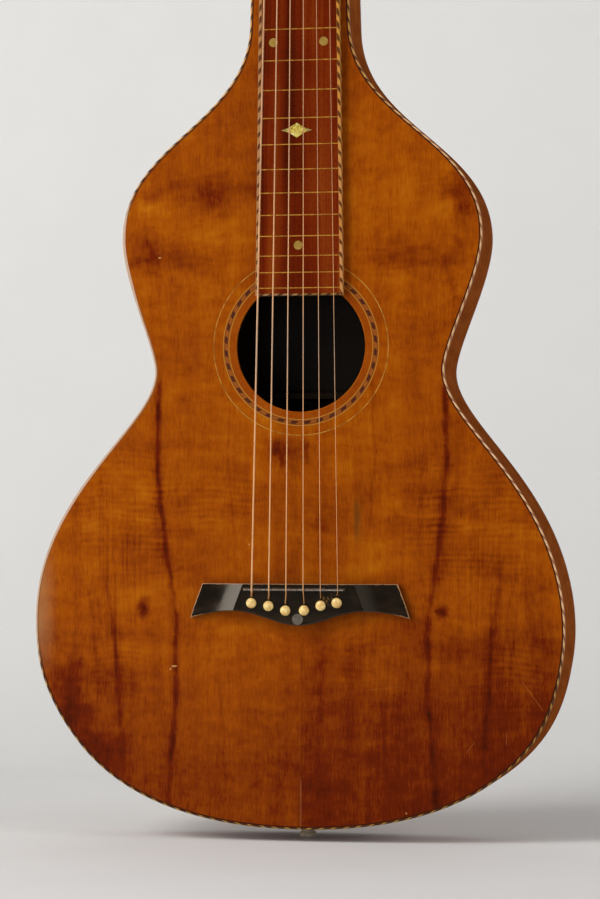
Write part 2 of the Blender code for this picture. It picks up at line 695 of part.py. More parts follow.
def head_to_guitar():
    return Matrix.Translation((0, 0, NUT_END_Z + GAP)) @ Matrix.Rotation(-HEAD_TILT, 4, "X")


def make_headstock(head):
    root = NUT_END_Z + GAP
    placed = head_to_guitar()
    front_top = placed @ Vector((0, 0, HEAD_LENGTH + 5 * MM))
    rear_top = placed @ Vector((0, HEAD_THICKNESS, HEAD_LENGTH + 5 * MM))
    rear_low = placed @ Vector((0, HEAD_THICKNESS, HEEL_TOP))
    rear_handle = placed @ Vector((0, HEAD_THICKNESS, HEEL_TOP - HEEL_HANDLE))
    heel = bezier((NUT_DEPTH, root), (NUT_DEPTH, root + HEEL_HANDLE), (rear_handle.y, rear_handle.z),
                  (rear_low.y, rear_low.z), 7)
    section = [(0, root)] + heel + [(rear_low.y, rear_low.z), (rear_top.y, rear_top.z), (front_top.y, front_top.z)]
    block = add_part("headstock", plate("headstock", [section], -45 * MM, 45 * MM, "X"), koa)
    front = add_cutter("head_outline", plate("head_outline", [both_halves(head_outline())], -30 * MM, 60 * MM), head)
    combine(block, front, "INTERSECT")
    tenon_section = [(TOP_THICKNESS + GAP, TENON_BOTTOM),
                     (depth_at(TENON_BOTTOM) - BACK_THICKNESS - GAP, TENON_BOTTOM),
                     (NUT_DEPTH - BACK_THICKNESS - GAP, root + 2 * MM), (TOP_THICKNESS + GAP, root + 2 * MM)]
    tenon = add_cutter("tenon", plate("tenon", [tenon_section], -TENON_HALF_WIDTH, TENON_HALF_WIDTH, "X"))
    combine(block, tenon, "UNION")
    along_y = Matrix.Rotation(math.pi / 2, 4, "X")
    bores = [rod(POST_RADIUS + 0.45 * MM, 60 * MM, SHAFT_SIDES, Matrix.Translation((x, 10 * MM, z)) @ along_y)
             for x in (POST_X, -POST_X) for z in POST_HEIGHTS]
    combine(block, add_cutter("post_bores", joined("post_bores", bores), head), "DIFFERENCE")


def make_tuner_strips(head):
    """Metal strips on the rear of the head, each with three pairs of bearing lugs."""
    rear = HEAD_THICKNESS + GAP
    inner, outer = STRIP_EDGES
    low, high = STRIP_ENDS
    nose = (outer - inner) / 2
    centre = (outer + inner) / 2
    ends = [(inner, low + nose / 2), (inner + nose / 2, low), (outer - nose / 2, low), (outer, low + nose / 2),
            (outer, high - nose / 2), (outer - nose / 2, high), (inner + nose / 2, high), (inner, high - nose / 2)]
    holes = [circle((POST_X, z), POST_RADIUS + 0.45 * MM, SHAFT_SIDES) for z in POST_HEIGHTS]
    holes += [circle((STRIP_SCREW_X - 9 * MM, z), 1.3 * MM, 8) for z in STRIP_SCREW_HEIGHTS]
    holes += [circle((centre, low + 4 * MM), 1.3 * MM, 8)]
    lugs = []
    for post_z in POST_HEIGHTS:
        z = post_z - WORM_DROP
        arch = [(AXLE_Y + LUG_RADIUS * math.sin(angle), z - LUG_RADIUS * math.cos(angle))
                for angle in (math.radians(30 * step) for step in range(7))]
        loop = [(rear + STRIP_THICKNESS / 2, z - LUG_RADIUS)] + arch + [(rear + STRIP_THICKNESS / 2, z + LUG_RADIUS)]
        hole = circle((AXLE_Y, z), LUG_HOLE, SHAFT_SIDES)
        for start in (POST_X + LUG_INNER, POST_X - LUG_INNER - LUG_THICKNESS):
            lugs.append(plate("lug", [loop, hole], start, start + LUG_THICKNESS, "X"))
    for side, sign in (("treble", 1), ("bass", -1)):
        name = f"tuner_strip_{side}"
        strip = plate(name, [ends] + holes, rear, rear + STRIP_THICKNESS)
        bearing = joined(f"lugs_{side}", lugs)
        if sign < 0:
            mirror_mesh(strip)
            mirror_mesh(bearing)
        part = add_part(name, strip, nickel, head)
        combine(part, add_cutter(f"lugs_{side}", bearing, head), "UNION")


def mirror_mesh(mesh):
    mesh.transform(Matrix.Scale(-1, 4, (1, 0, 0)))
    mesh.flip_normals()


def worm_mesh():
    """A screw thread along Z, closed at both ends, whose crest faces -X at the middle of its length."""
    tip = TOOTH_HALF - ADDENDUM * FLANK
    root = TOOTH_HALF + DEDENDUM * FLANK
    middle = WORM_PITCH / 2
    low = -(WORM_TURNS + 1) * WORM_PITCH / 2
    inner = WORM_RADIUS - DEDENDUM
    outer = WORM_RADIUS + ADDENDUM
    ridge = [(inner, low + WORM_PITCH), (inner, low + middle + root), (outer, low + middle + tip),
             (outer, low + middle - tip), (inner, low + middle - root), (inner, low)]
    thread = bpy.data.objects.new("thread", profile_mesh("thread", ridge))
    parts.objects.link(thread)
    step = thread.modifiers.new("thread", "SCREW")
    step.screw_offset = WORM_PITCH
    step.iterations = WORM_TURNS
    step.steps = WORM_SIDES
    step.render_steps = WORM_SIDES
    step.use_merge_vertices = False
    mesh = solid_from(thread)
    mesh.transform(Matrix.Rotation(math.pi, 4, "Z"))
    work = bmesh.new()
    work.from_mesh(mesh)
    bmesh.ops.recalc_face_normals(work, faces=work.faces)
    for sign in (-1, 1):
        rim = [edge for edge in work.edges if edge.is_boundary and edge.verts[0].co.z * sign > 0]
        grown = bmesh.ops.extrude_edge_only(work, edges=rim)["geom"]
        apex = [corner for corner in grown if isinstance(corner, bmesh.types.BMVert)]
        bmesh.ops.pointmerge(work, verts=apex, merge_co=(0, 0, sign * (WORM_TURNS / 2) * WORM_PITCH))
    bmesh.ops.recalc_face_normals(work, faces=work.faces)
    work.to_mesh(mesh)
    work.free()
    return mesh


def shaft_profile():
    return [(0, BUTTON_BORE_END - 0.5 * MM), (SHAFT_RADIUS, BUTTON_BORE_END - 0.5 * MM),
            (SHAFT_RADIUS, -LUG_INNER - LUG_THICKNESS - 0.9 * MM), (0, -LUG_INNER - LUG_THICKNESS - 0.9 * MM)]


def gear_mesh():
    """A toothed wheel about Z, with a gap facing -Y and its teeth leant to the thread's slope."""
    tip = (TOOTH_HALF - ADDENDUM * FLANK) / (GEAR_RADIUS + ADDENDUM)
    root = (TOOTH_HALF + DEDENDUM * FLANK) / (GEAR_RADIUS - DEDENDUM)
    loop = []
    for tooth in range(GEAR_TEETH):
        centre = -math.pi / 2 + (tooth + 0.5) * 2 * math.pi / GEAR_TEETH
        for radius, angle in ((GEAR_RADIUS - DEDENDUM, -root), (GEAR_RADIUS + ADDENDUM, -tip),
                              (GEAR_RADIUS + ADDENDUM, tip), (GEAR_RADIUS - DEDENDUM, root)):
            loop.append((radius * math.cos(centre + angle), radius * math.sin(centre + angle)))
    mesh = plate("gear", [loop], -GEAR_THICKNESS / 2, GEAR_THICKNESS / 2, "Z")
    lean = WORM_PITCH / (2 * math.pi * WORM_RADIUS) / GEAR_RADIUS
    for corner in mesh.vertices:
        corner.co = Matrix.Rotation(lean * corner.co.z, 3, "Z") @ corner.co
    mesh.transform(Matrix.Translation((0, 0, -AXLE_Y)))
    return mesh


def post_profile():
    strip_rear = -(HEAD_THICKNESS + GAP + STRIP_THICKNESS)
    gear_front = -AXLE_Y + GEAR_THICKNESS / 2
    gear_rear = -AXLE_Y - GEAR_THICKNESS / 2
    return [(0, POST_TOP), (POST_RADIUS - 0.6 * MM, POST_TOP), (POST_RADIUS, POST_TOP - 0.8 * MM),
            (POST_RADIUS, strip_rear - GAP), (4.4 * MM, strip_rear - GAP), (4.4 * MM, gear_front - 0.5 * MM),
            (2.8 * MM, gear_front - 0.5 * MM), (2.8 * MM, gear_rear - 0.7 * MM), (1.9 * MM, gear_rear - 1.3 * MM),
            (0, gear_rear - 1.3 * MM)]


def button_profile():
    """A knob that swells from its collar to a rounded end, listed from the end down."""
    length = BUTTON_END - BUTTON_START
    widths = [(0, 1.0), (4.2 * MM, 0.97), (7.2 * MM, 0.84), (8.2 * MM, 0.62), (7.2 * MM, 0.36), (4.6 * MM, 0.14),
              (3.8 * MM, 0.0), (0, 0.0)]
    return [(width, BUTTON_START + share * length) for width, share in widths]


def make_tuners(head):
    """Six posts with gears, each turned by a worm on the shaft of a button."""
    gear = gear_mesh()
    worm = worm_mesh()
    button = bpy.data.objects.new("button", profile_mesh("button", button_profile()))
    parts.objects.link(button)
    turn(button, SHAFT_SIDES)
    knob = solid_from(button)
    for corner in knob.vertices:
        share = (corner.co.z - BUTTON_START) / (BUTTON_END - BUTTON_START)
        corner.co.y *= 1 - BUTTON_FLATTEN * min(1, max(0, share) * 2.5)
    bore_length = BUTTON_BORE_END - BUTTON_START + 1 * MM
    for number in range(1, 7):
        treble = number <= 3
        sign = 1 if treble else -1
        z = POST_HEIGHTS[number - 1] if treble else POST_HEIGHTS[6 - number]
        wheel = gear.copy()
        thread = worm.copy()
        if not treble:
            mirror_mesh(wheel)
            mirror_mesh(thread)
        post = add_part(f"tuner_post_{number}", profile_mesh(f"tuner_post_{number}", post_profile()), nickel, head)
        post.location = (sign * POST_X, 0, z)
        post.rotation_euler = (math.pi / 2, 0, 0)
        turn(post, SHAFT_SIDES)
        wheel_body = add_cutter(f"gear_{number}", wheel, head)
        wheel_body.location = post.location
        wheel_body.rotation_euler = post.rotation_euler
        combine(post, wheel_body, "UNION")
        axle = (sign * POST_X, AXLE_Y, z - WORM_DROP)
        outward = (0, sign * math.pi / 2, 0)
        shaft = add_part(f"tuner_worm_{number}", profile_mesh(f"tuner_worm_{number}", shaft_profile()), nickel, head)
        turn(shaft, SHAFT_SIDES)
        ridge = add_cutter(f"thread_{number}", thread, head)
        combine(shaft, ridge, "UNION")
        grip = add_part(f"tuner_button_{number}", knob.copy(), ivory, head)
        middle = (BUTTON_START - 1 * MM + BUTTON_BORE_END) / 2
        bore = add_cutter(f"button_bore_{number}", rod(SHAFT_RADIUS + 0.35 * MM, bore_length, SHAFT_SIDES,
                                                       Matrix.Translation((0, 0, middle))), head)
        combine(grip, bore, "DIFFERENCE")
        for thing in (shaft, ridge, grip, bore):
            thing.location = axle
            thing.rotation_euler = outward


def winding(index):
    """A string's turns round its post, in the head's frame, from the nut's side."""
    radius = STRING_RADII[index]
    treble = index < 3
    sign = 1 if treble else -1
    z = POST_HEIGHTS[index] if treble else POST_HEIGHTS[5 - index]
    reach = POST_RADIUS + GAP + radius
    pitch = 2 * radius + WINDING_CLEARANCE
    points = []
    for step in range(WINDING_TURNS * WINDING_POINTS + 1):
        turned = step / WINDING_POINTS
        angle = math.pi - 2 * math.pi * turned
        points.append(Vector((sign * (POST_X + reach * math.cos(angle)), -WINDING_TOP + pitch * turned,
                              z + reach * math.sin(angle))))
    stub = points[-1] + Vector((0, 0, 2 * radius))
    return points + [stub]


def least_gap(points, radius):
    """The narrowest space that a tube's centre line leaves between its turns."""
    apart = WINDING_POINTS // 2
    nearest = min((points[later] - points[first]).length for first in range(len(points))
                  for later in range(first + apart, len(points)))
    return nearest - 2 * radius


def make_strings():
    """Each string: ball end under its pin, over the saddle, over the nut, and round its post."""
    for index, radius in enumerate(STRING_RADII):
        pin_x, pin_z = PIN_PLACES[index]
        z = pin_z + STRING_FROM_PIN
        under = TOP_THICKNESS + 2 * GAP + PLATE_THICKNESS
        crest = -SADDLE_CREST - radius - GAP
        at_saddle = saddle_x(index)
        points = [Vector((pin_x, under + GAP + BALL_LENGTH, z)), Vector((pin_x, under + GAP, z)),
                  Vector((pin_x, under, z)), Vector((pin_x, -BRIDGE_TOP, z)),
                  Vector((pin_x, -BRIDGE_TOP - 1.2 * MM, z + 0.5 * MM)),
                  Vector((at_saddle, crest + 0.75 * MM, -1.7 * MM)), Vector((at_saddle, crest + 0.1 * MM, -0.8 * MM)),
                  Vector((at_saddle, crest, 0.2 * MM)),
                  Vector((nut_x(index), -NUT_CREST, SCALE_LENGTH + 0.4 * MM)),
                  Vector((nut_x(index), -NUT_CREST, SCALE_LENGTH + 1.8 * MM))]
        coil = winding(index)
        print(f"string {index + 1} winding, least gap {least_gap(coil, radius) / MM:.2f} mm")
        placed = head_to_guitar()
        points += [placed @ point for point in coil]
        curve = bpy.data.curves.new(f"string_{index + 1}", "CURVE")
        curve.dimensions = "3D"
        curve.bevel_depth = radius
        curve.bevel_resolution = 1
        curve.use_fill_caps = True
        spline = curve.splines.new("POLY")
        spline.points.add(len(points) - 1)
        for place, point in zip(spline.points, points):
            place.co = (*point, 1)
        for place in spline.points[:2]:
            place.radius = BALL_RADIUS / radius
        string = bpy.data.objects.new(f"string_{index + 1}", curve)
        parts.objects.link(string)
        string.parent = guitar
        curve.materials.append(steel if index < 3 else bronze)


def make_end_pin():
    """A turned button whose shank passes through the sides into the tail block."""
    neck = END_PIN_SHANK
    profile = [(0, 8.6 * MM), (2.6 * MM, 8.6 * MM), (4.9 * MM, 7.9 * MM), (END_PIN_RADIUS, 6.0 * MM),
               (END_PIN_RADIUS * 0.95, 4.4 * MM), (neck + 0.8 * MM, 3.2 * MM), (neck + 0.8 * MM, GAP), (neck, GAP),
               (neck - 0.5 * MM, -16 * MM), (0, -16 * MM)]
    pin = add_part("end_pin", profile_mesh("end_pin", profile), ivory)
    pin.location = (0, END_PIN_Y, TAIL_Z)
    pin.rotation_euler = (math.pi, 0, 0)
    turn(pin, 16)


clear_scene()
parts = new_collection("hawaiian_guitar")
cutters = new_collection("cutters")

koa = new_material("koa", (0.36, 0.14, 0.025), 0.32)
side_koa = new_material("side_koa", (0.22, 0.07, 0.02), 0.35)
mahogany = new_material("mahogany", (0.26, 0.11, 0.05), 0.6)
spruce = new_material("spruce", (0.62, 0.44, 0.24), 0.65)
maple = new_material("maple", (0.6, 0.42, 0.22), 0.6)
rosewood = new_material("rosewood", (0.11, 0.02, 0.008), 0.38)
ebony = new_material("ebony", (0.012, 0.01, 0.008), 0.25)
rope_wood = new_material("rope_wood", (0.5, 0.3, 0.1), 0.4)
ivory = new_material("ivory", (0.75, 0.62, 0.36), 0.3)
bone = new_material("bone", (0.7, 0.64, 0.5), 0.4)
nickel = new_material("nickel", (0.6, 0.58, 0.54), 0.3, 1.0)
steel = new_material("steel", (0.62, 0.62, 0.62), 0.28, 1.0)
bronze = new_material("bronze", (0.6, 0.45, 0.3), 0.35, 1.0)

guitar = new_empty("guitar", None, (0, -HANGER_Y, -HANGER_Z))
head_frame = new_empty("head_frame", guitar, (0, 0, NUT_END_Z + GAP), -HEAD_TILT)

treble_edge = body_edge()
pin_bore = add_cutter("end_pin_bore", rod(END_PIN_SHANK + 0.4 * MM, 60 * MM, 16,
                                          Matrix.Translation((0, END_PIN_Y, TAIL_Z))))
make_soundboard(treble_edge)
make_back(treble_edge)
make_sides(treble_edge, pin_bore)
make_rope_bindings(treble_edge)
make_linings(treble_edge)
make_tail_block(treble_edge, pin_bore)
make_top_braces()
make_back_braces()
make_bridge()
make_pins()
make_fingerboard()
make_nut()
make_headstock(head_frame)
make_tuner_strips(head_frame)
make_tuners(head_frame)
make_strings()
make_end_pin()

for thing in parts.objects:
    if thing.type == "MESH" and not any(step.type == "SCREW" for step in thing.modifiers):
        thing.data.shade_smooth()
        thing.data.set_sharp_from_angle(angle=math.radians(32))
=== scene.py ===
# %% [markdown]
# # A Hawaiian guitar with rope binding
# This lesson dresses a finished model of a lap guitar. The model came from a drawing-office script and has the
# right size and all its parts, but plain colours and few faces. Here each part that shows gets a finer shape and
# a finish of its own: figured koa, slanted rope marquetry, worn black lacquer, yellowed ivoroid and dull metal.

# %% Open the frame
import math

import bmesh
import bpy
from mathutils import Matrix
from mathutils import Vector
from mathutils.geometry import interpolate_bezier


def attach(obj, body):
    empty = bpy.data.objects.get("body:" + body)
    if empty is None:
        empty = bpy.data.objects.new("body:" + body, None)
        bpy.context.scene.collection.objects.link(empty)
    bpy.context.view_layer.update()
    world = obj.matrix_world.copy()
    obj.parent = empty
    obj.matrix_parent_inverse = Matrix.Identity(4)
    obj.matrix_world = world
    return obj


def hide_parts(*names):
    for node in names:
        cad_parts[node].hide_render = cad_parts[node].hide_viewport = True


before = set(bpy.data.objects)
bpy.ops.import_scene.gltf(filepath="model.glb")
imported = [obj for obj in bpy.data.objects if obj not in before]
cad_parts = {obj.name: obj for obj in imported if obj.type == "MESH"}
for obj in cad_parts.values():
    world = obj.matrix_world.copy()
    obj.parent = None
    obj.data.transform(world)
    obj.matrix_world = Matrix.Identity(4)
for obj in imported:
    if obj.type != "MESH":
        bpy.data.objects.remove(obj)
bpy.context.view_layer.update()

# %% [markdown]
# ## Where things are
# A maker measures a guitar from its soundboard and saddle, so this script does too, in millimetres: X to the
# treble side, Y into the body and Z towards the head, with zero on the soundboard under the saddle. The frame's
# own zero is the hanger's place in the throat of the head, so every mesh is moved there once, when it is made.

# %% Measures of the guitar
HANGER = Vector((0, 14, 657))
SCALE_LENGTH = 635
TOP_THICKNESS = 2.8
BACK_THICKNESS = 2.8
NUT_END_Z = 640.7
TAIL_Z = -171
NUT_DEPTH = 38
TAIL_DEPTH = 76
BACK_SLOPE = (TAIL_DEPTH - NUT_DEPTH) / (NUT_END_Z - TAIL_Z)
HOLE_Z = 173.5
HOLE_RADIUS = 47
BOARD_TAPER = 0.01225
DIAMOND_X = -1.7
END_PIN_Y = 28
HEAD_Z = NUT_END_Z + 0.3
HEAD_TILT = math.radians(12)
HEAD = Matrix.Translation((0, 0, HEAD_Z)) @ Matrix.Rotation(-HEAD_TILT, 4, "X")
Z_TO_FRONT = Matrix.Rotation(math.pi / 2, 4, "X")
HANDS = ((1, "treble"), (-1, "bass"))


def depth_at(z):
    """How far behind the soundboard's face the back's outer face lies."""
    return NUT_DEPTH + BACK_SLOPE * (NUT_END_Z - z)


print("depth at the tail", round(depth_at(TAIL_Z)), "mm, at the nut", round(depth_at(NUT_END_Z)), "mm")

# %% [markdown]
# ## Tools for shapes
# Nearly every piece here is one of five kinds: a flat outline with a thickness, a strip that follows a path, a
# turned shape, a round wire, or a cut of one shape by another. One short helper makes each kind, and a last one
# puts the piece on its body, hides the plain node that it stands for and gives it its finish.

# %% Points and lines
def at_angle(radius, angle):
    return radius * math.cos(angle), radius * math.sin(angle)


def round_steps(sides):
    return [2 * math.pi * step / sides for step in range(sides)]


def circle(x, z, radius, sides=64):
    return [(x + across, z + up) for across, up in (at_angle(radius, angle) for angle in round_steps(sides))]


def oblong(low_x, low_z, high_x, high_z):
    return [(low_x, low_z), (high_x, low_z), (high_x, high_z), (low_x, high_z)]


def run(start, *spans):
    """A line of smooth spans, one after another. Each is (handle, handle, end, steps)."""
    line = []
    for handle, other_handle, end, steps in spans:
        knots = [Vector((a, b, 0)) for a, b in (start, handle, other_handle, end)]
        line += [(point.x, point.y) for point in interpolate_bezier(*knots, steps + 1)[:-1]]
        start = end
    return line + [start]


def shift(x, y, z):
    return Matrix.Translation((x, y, z))


print("helpers: at_angle, round_steps, circle, oblong, run, shift")

# %% Meshes from corners
def mesh_from(corners, faces, lay=None):
    """A mesh in guitar millimetres. Lay holds, for each corner, how far along and across a strip it lies."""
    mesh = bpy.data.meshes.new("shape")
    mesh.from_pydata([tuple(corner) for corner in corners], [], faces)
    if lay:
        layer = mesh.attributes.new("lay", "FLOAT_VECTOR", "POINT")
        layer.data.foreach_set("vector", [number for u, v in lay for number in (u, v, 0)])
    work = bmesh.new()
    work.from_mesh(mesh)
    bmesh.ops.recalc_face_normals(work, faces=work.faces)
    work.to_mesh(mesh)
    work.free()
    return mesh


def strip(rings, lay=None, closed=False):
    """A skin over a row of equal rings, with flat ends unless the row closes on itself."""
    count = len(rings[0])
    corners = [corner for ring in rings for corner in ring]
    faces = []
    for row in range(len(rings) if closed else len(rings) - 1):
        for spot in range(count):
            near = (row * count + spot, row * count + (spot + 1) % count)
            after = (row + 1) % len(rings) * count
            faces.append((*near, after + (spot + 1) % count, after + spot))
    if not closed:
        faces.append(tuple(range(count)))
        faces.append(tuple(range(len(corners) - count, len(corners))))
    return mesh_from(corners, faces, lay)


def turned(profile, sides=40):
    """A round body about Z from (radius, height) points."""
    return strip([[(*at_angle(max(radius, 0.01), angle), height) for angle in round_steps(sides)]
                  for radius, height in profile])


print("helpers: mesh_from, strip, turned")

# %% Flat outlines and cuts
TURNS = {"X": ((0, 0, 1), (1, 0, 0), (0, 1, 0)), "Y": ((1, 0, 0), (0, 0, -1), (0, 1, 0)),
         "Z": ((1, 0, 0), (0, 1, 0), (0, 0, 1))}


def placed(data, name="loose"):
    """A new object in the scene."""
    thing = bpy.data.objects.new(name, data)
    bpy.context.scene.collection.objects.link(thing)
    return thing


def finished(thing):
    """The mesh of an object with its modifiers or its curve worked out. The object itself goes."""
    bpy.context.view_layer.update()
    mesh = bpy.data.meshes.new_from_object(thing.evaluated_get(bpy.context.evaluated_depsgraph_get()))
    bpy.data.objects.remove(thing, do_unlink=True)
    work = bmesh.new()
    work.from_mesh(mesh)
    bmesh.ops.remove_doubles(work, verts=work.verts, dist=0.0005)
    work.to_mesh(mesh)
    work.free()
    return mesh


def plate(loops, low, high, axis="Y"):
    """A flat outline with holes, made solid along an axis. Its points are (x, z), (y, z) or (x, y)."""
    curve = bpy.data.curves.new("outline", "CURVE")
    curve.dimensions = "2D"
    curve.fill_mode = "BOTH"
    curve.extrude = (high - low) / 2
    for loop in loops:
        spline = curve.splines.new("POLY")
        spline.points.add(len(loop) - 1)
        for point, (across, along) in zip(spline.points, loop):
            point.co = (across, along, 0, 1)
        spline.use_cyclic_u = True
    middle = [0, 0, 0]
    middle["XYZ".index(axis)] = (low + high) / 2
    mesh = finished(placed(curve))
    mesh.transform(shift(*middle) @ Matrix(TURNS[axis]).to_4x4())
    return mesh


def cut(mesh, other, operation="DIFFERENCE"):
    """One solid cut by, joined to or kept within another."""
    first, second = placed(mesh), placed(other)
    step = first.modifiers.new("cut", "BOOLEAN")
    step.operation = operation
    step.object = second
    result = finished(first)
    bpy.data.objects.remove(second, do_unlink=True)
    return result


def gathered(meshes):
    """Several meshes as one."""
    work = bmesh.new()
    for mesh in meshes:
        work.from_mesh(mesh)
    whole = bpy.data.meshes.new("shape")
    work.to_mesh(whole)
    work.free()
    return whole


def moved(mesh, matrix):
    copy = mesh.copy()
    copy.transform(matrix)
    if matrix.determinant() < 0:
        copy.flip_normals()
    return copy


print("helpers: placed, finished, plate, cut, gathered, moved")

# %% Pieces on their bodies
TO_FRAME = Matrix.Scale(0.001, 4) @ Matrix.Translation(-HANGER)


def piece(name, shape, finish, stands_for=(), body="frame", round_edges=0.0, smooth=32):
    """Puts a mesh into the frame as one piece of the guitar. Edges under the smooth angle are shaded soft."""
    shape.transform(TO_FRAME)
    thing = placed(shape, name)
    shape.materials.clear()
    shape.materials.append(finish.material)
    if round_edges:
        step = thing.modifiers.new("rounded", "BEVEL")
        step.width = round_edges * 0.001
        step.segments = 2
        step.limit_method = "ANGLE"
        step.angle_limit = math.radians(40)
        step.harden_normals = True
    shape.shade_smooth()
    shape.set_sharp_from_angle(angle=math.radians(smooth))
    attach(thing, body)
    if stands_for:
        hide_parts(*stands_for)


print("pieces ride on their bodies by name")

# %% [markdown]
# ## A small language for finishes
# A material is a graph of nodes, and writing each sum as nodes and links hides what it means. So a socket is
# wrapped in a class whose +, -, *, % and abs add the nodes themselves. `1 - mask` then reads as what it does, and a
# finish becomes a few lines of arithmetic on the place of a point in the wood. A mask is such a value between 0
# and 1: `z.step(10, -150)` grows from 0 at a height of 10 mm to 1 at -150 mm, and `x.near(41, 6)` is 1 on the line
# x = 41 and fades out within 6 mm of it.

# %% Sockets that can be used in sums
class Wire:
    """A value that changes over a surface."""

    def __init__(self, finish, socket):
        self.finish = finish
        self.socket = socket

    def __add__(self, other):
        return self.finish.sum("ADD", self, other)

    def __sub__(self, other):
        return self.finish.sum("SUBTRACT", self, other)

    def __rsub__(self, other):
        return self.finish.sum("SUBTRACT", other, self)

    def __mul__(self, other):
        return self.finish.sum("MULTIPLY", self, other)

    def __abs__(self):
        return self.finish.sum("ABSOLUTE", self, 0)

    def __mod__(self, other):
        return self.finish.sum("FLOORED_MODULO", self, other)

    __radd__ = __add__
    __rmul__ = __mul__

    def zigzag(self):
        """Falls from 1 to 0 and rises to 1 again over each whole length."""
        return abs(self % 1.0 - 0.5) * 2

    def step(self, low, high):
        """Rises smoothly from 0 at low to 1 at high."""
        return self.finish.node("ShaderNodeMapRange", {"interpolation_type": "SMOOTHSTEP"}, {0: self, 1: low, 2: high})

    def near(self, centre, reach):
        """1 at the centre, 0 further than reach away."""
        return abs(self - centre).step(reach, 0.0)


class Finish:
    """One material. Constants go on the shader's own sockets; colour, roughness and bump may vary."""

    def __init__(self, name, **constants):
        self.material = bpy.data.materials.new(name)
        self.material.use_nodes = True
        self.tree = self.material.node_tree
        self.shader = self.tree.nodes["Principled BSDF"]
        for name, value in constants.items():
            self.shader.inputs[name.replace("_", " ")].default_value = value

    def link(self, wire, socket):
        self.tree.links.new(wire.socket, socket)

    def node(self, kind, settings=None, inputs=None, output=0):
        made = self.tree.nodes.new(kind)
        for name, value in (settings or {}).items():
            if name == "stops":
                for _ in value[2:]:
                    made.color_ramp.elements.new(0.5)
                for element, (place, colour) in zip(made.color_ramp.elements, value):
                    element.position = place
                    element.color = (*colour, 1)
            else:
                setattr(made, name, value)
        for name, value in (inputs or {}).items():
            if isinstance(value, Wire):
                self.link(value, made.inputs[name])
            else:
                made.inputs[name].default_value = value
        return Wire(self, made.outputs[output])

    def sum(self, operation, first, second):
        return self.node("ShaderNodeMath", {"operation": operation}, {0: first, 1: second})

    def point(self, x, y, z):
        return self.node("ShaderNodeCombineXYZ", inputs={0: x, 1: y, 2: z})

    def parts(self, vector):
        split = self.node("ShaderNodeSeparateXYZ", inputs={0: vector})
        return [Wire(self, socket) for socket in split.socket.node.outputs]

    def place(self):
        """Where a point lies, in guitar millimetres."""
        x, y, z = self.parts(self.node("ShaderNodeTexCoord", output="Object"))
        return x * 1000, y * 1000 + HANGER.y, z * 1000 + HANGER.z

    def lay(self):
        """How far along and across its strip a point lies, in millimetres."""
        return self.parts(self.node("ShaderNodeAttribute", {"attribute_name": "lay"}, output="Vector"))[:2]

    def paint(self, colour, roughness=None, height=None, strength=0.5):
        """Feeds the shader. Height is in millimetres."""
        for name, wire in (("Base Color", colour), ("Roughness", roughness)):
            if wire is not None:
                self.link(wire, self.shader.inputs[name])
        if height is not None:
            bump = self.node("ShaderNodeBump", inputs={"Strength": strength, "Distance": 0.001, "Height": height})
            self.link(bump, self.shader.inputs["Normal"])
        return self


print("a finish is written as sums of wires")

# %% Noise and colour
FACTOR, FIRST, SECOND, MIXED = 0, 6, 7, 2


def noise(x, y, z, detail=2.0, roughness=0.5, distortion=0.0):
    """Clouds between 0 and 1, one unit wide. Multiply a place by less than 1 to stretch them along it."""
    finish = next(value.finish for value in (x, y, z) if isinstance(value, Wire))
    return finish.node("ShaderNodeTexNoise", inputs={"Vector": finish.point(x, y, z), "Scale": 1.0, "Detail": detail,
                                                     "Roughness": roughness, "Distortion": distortion})


def swing(*place_and_detail):
    """The same clouds about zero."""
    return noise(*place_and_detail) - 0.5


def from_axis(across, up):
    """Distance from a line that runs along Y."""
    return across.finish.sum("POWER", across * across + up * up, 0.5)


def tint(colour):
    return colour if isinstance(colour, Wire) else (*colour, 1)


def mix(first, second, share):
    colours = {FACTOR: share, FIRST: tint(first), SECOND: tint(second)}
    return share.finish.node("ShaderNodeMix", {"data_type": "RGBA"}, colours, output=MIXED)


def over(colour, *coats):
    """Lays coats over a colour, one after another. Each is a colour and its share."""
    for coat, share in coats:
        colour = mix(colour, coat, share)
    return colour


def ramp(share, stops):
    return share.finish.node("ShaderNodeValToRGB", {"stops": stops}, {0: share})


print("helpers: noise, swing, from_axis, mix, over, ramp")

# %% [markdown]
# ## Koa
# Koa is a Hawaiian hardwood whose brown stripes follow the grain while its curl shimmers across it, like folds in
# silk. A soundboard is bookmatched: one plank is sawn in two and opened like a book, so the halves mirror each
# other in the seam. Measuring from the seam instead of from the edge gives that for nothing. Stripes, curl, pores
# and the dull film of old lacquer are each a layer of stretched noise, added up into one tone that a colour ramp
# turns into wood.

# %% Koa finishes
KOA = [(0.0, (0.036, 0.0036, 0.0003)), (0.3, (0.130, 0.0125, 0.0004)), (0.62, (0.300, 0.0605, 0.0006)),
       (1.0, (0.47, 0.150, 0.003))]


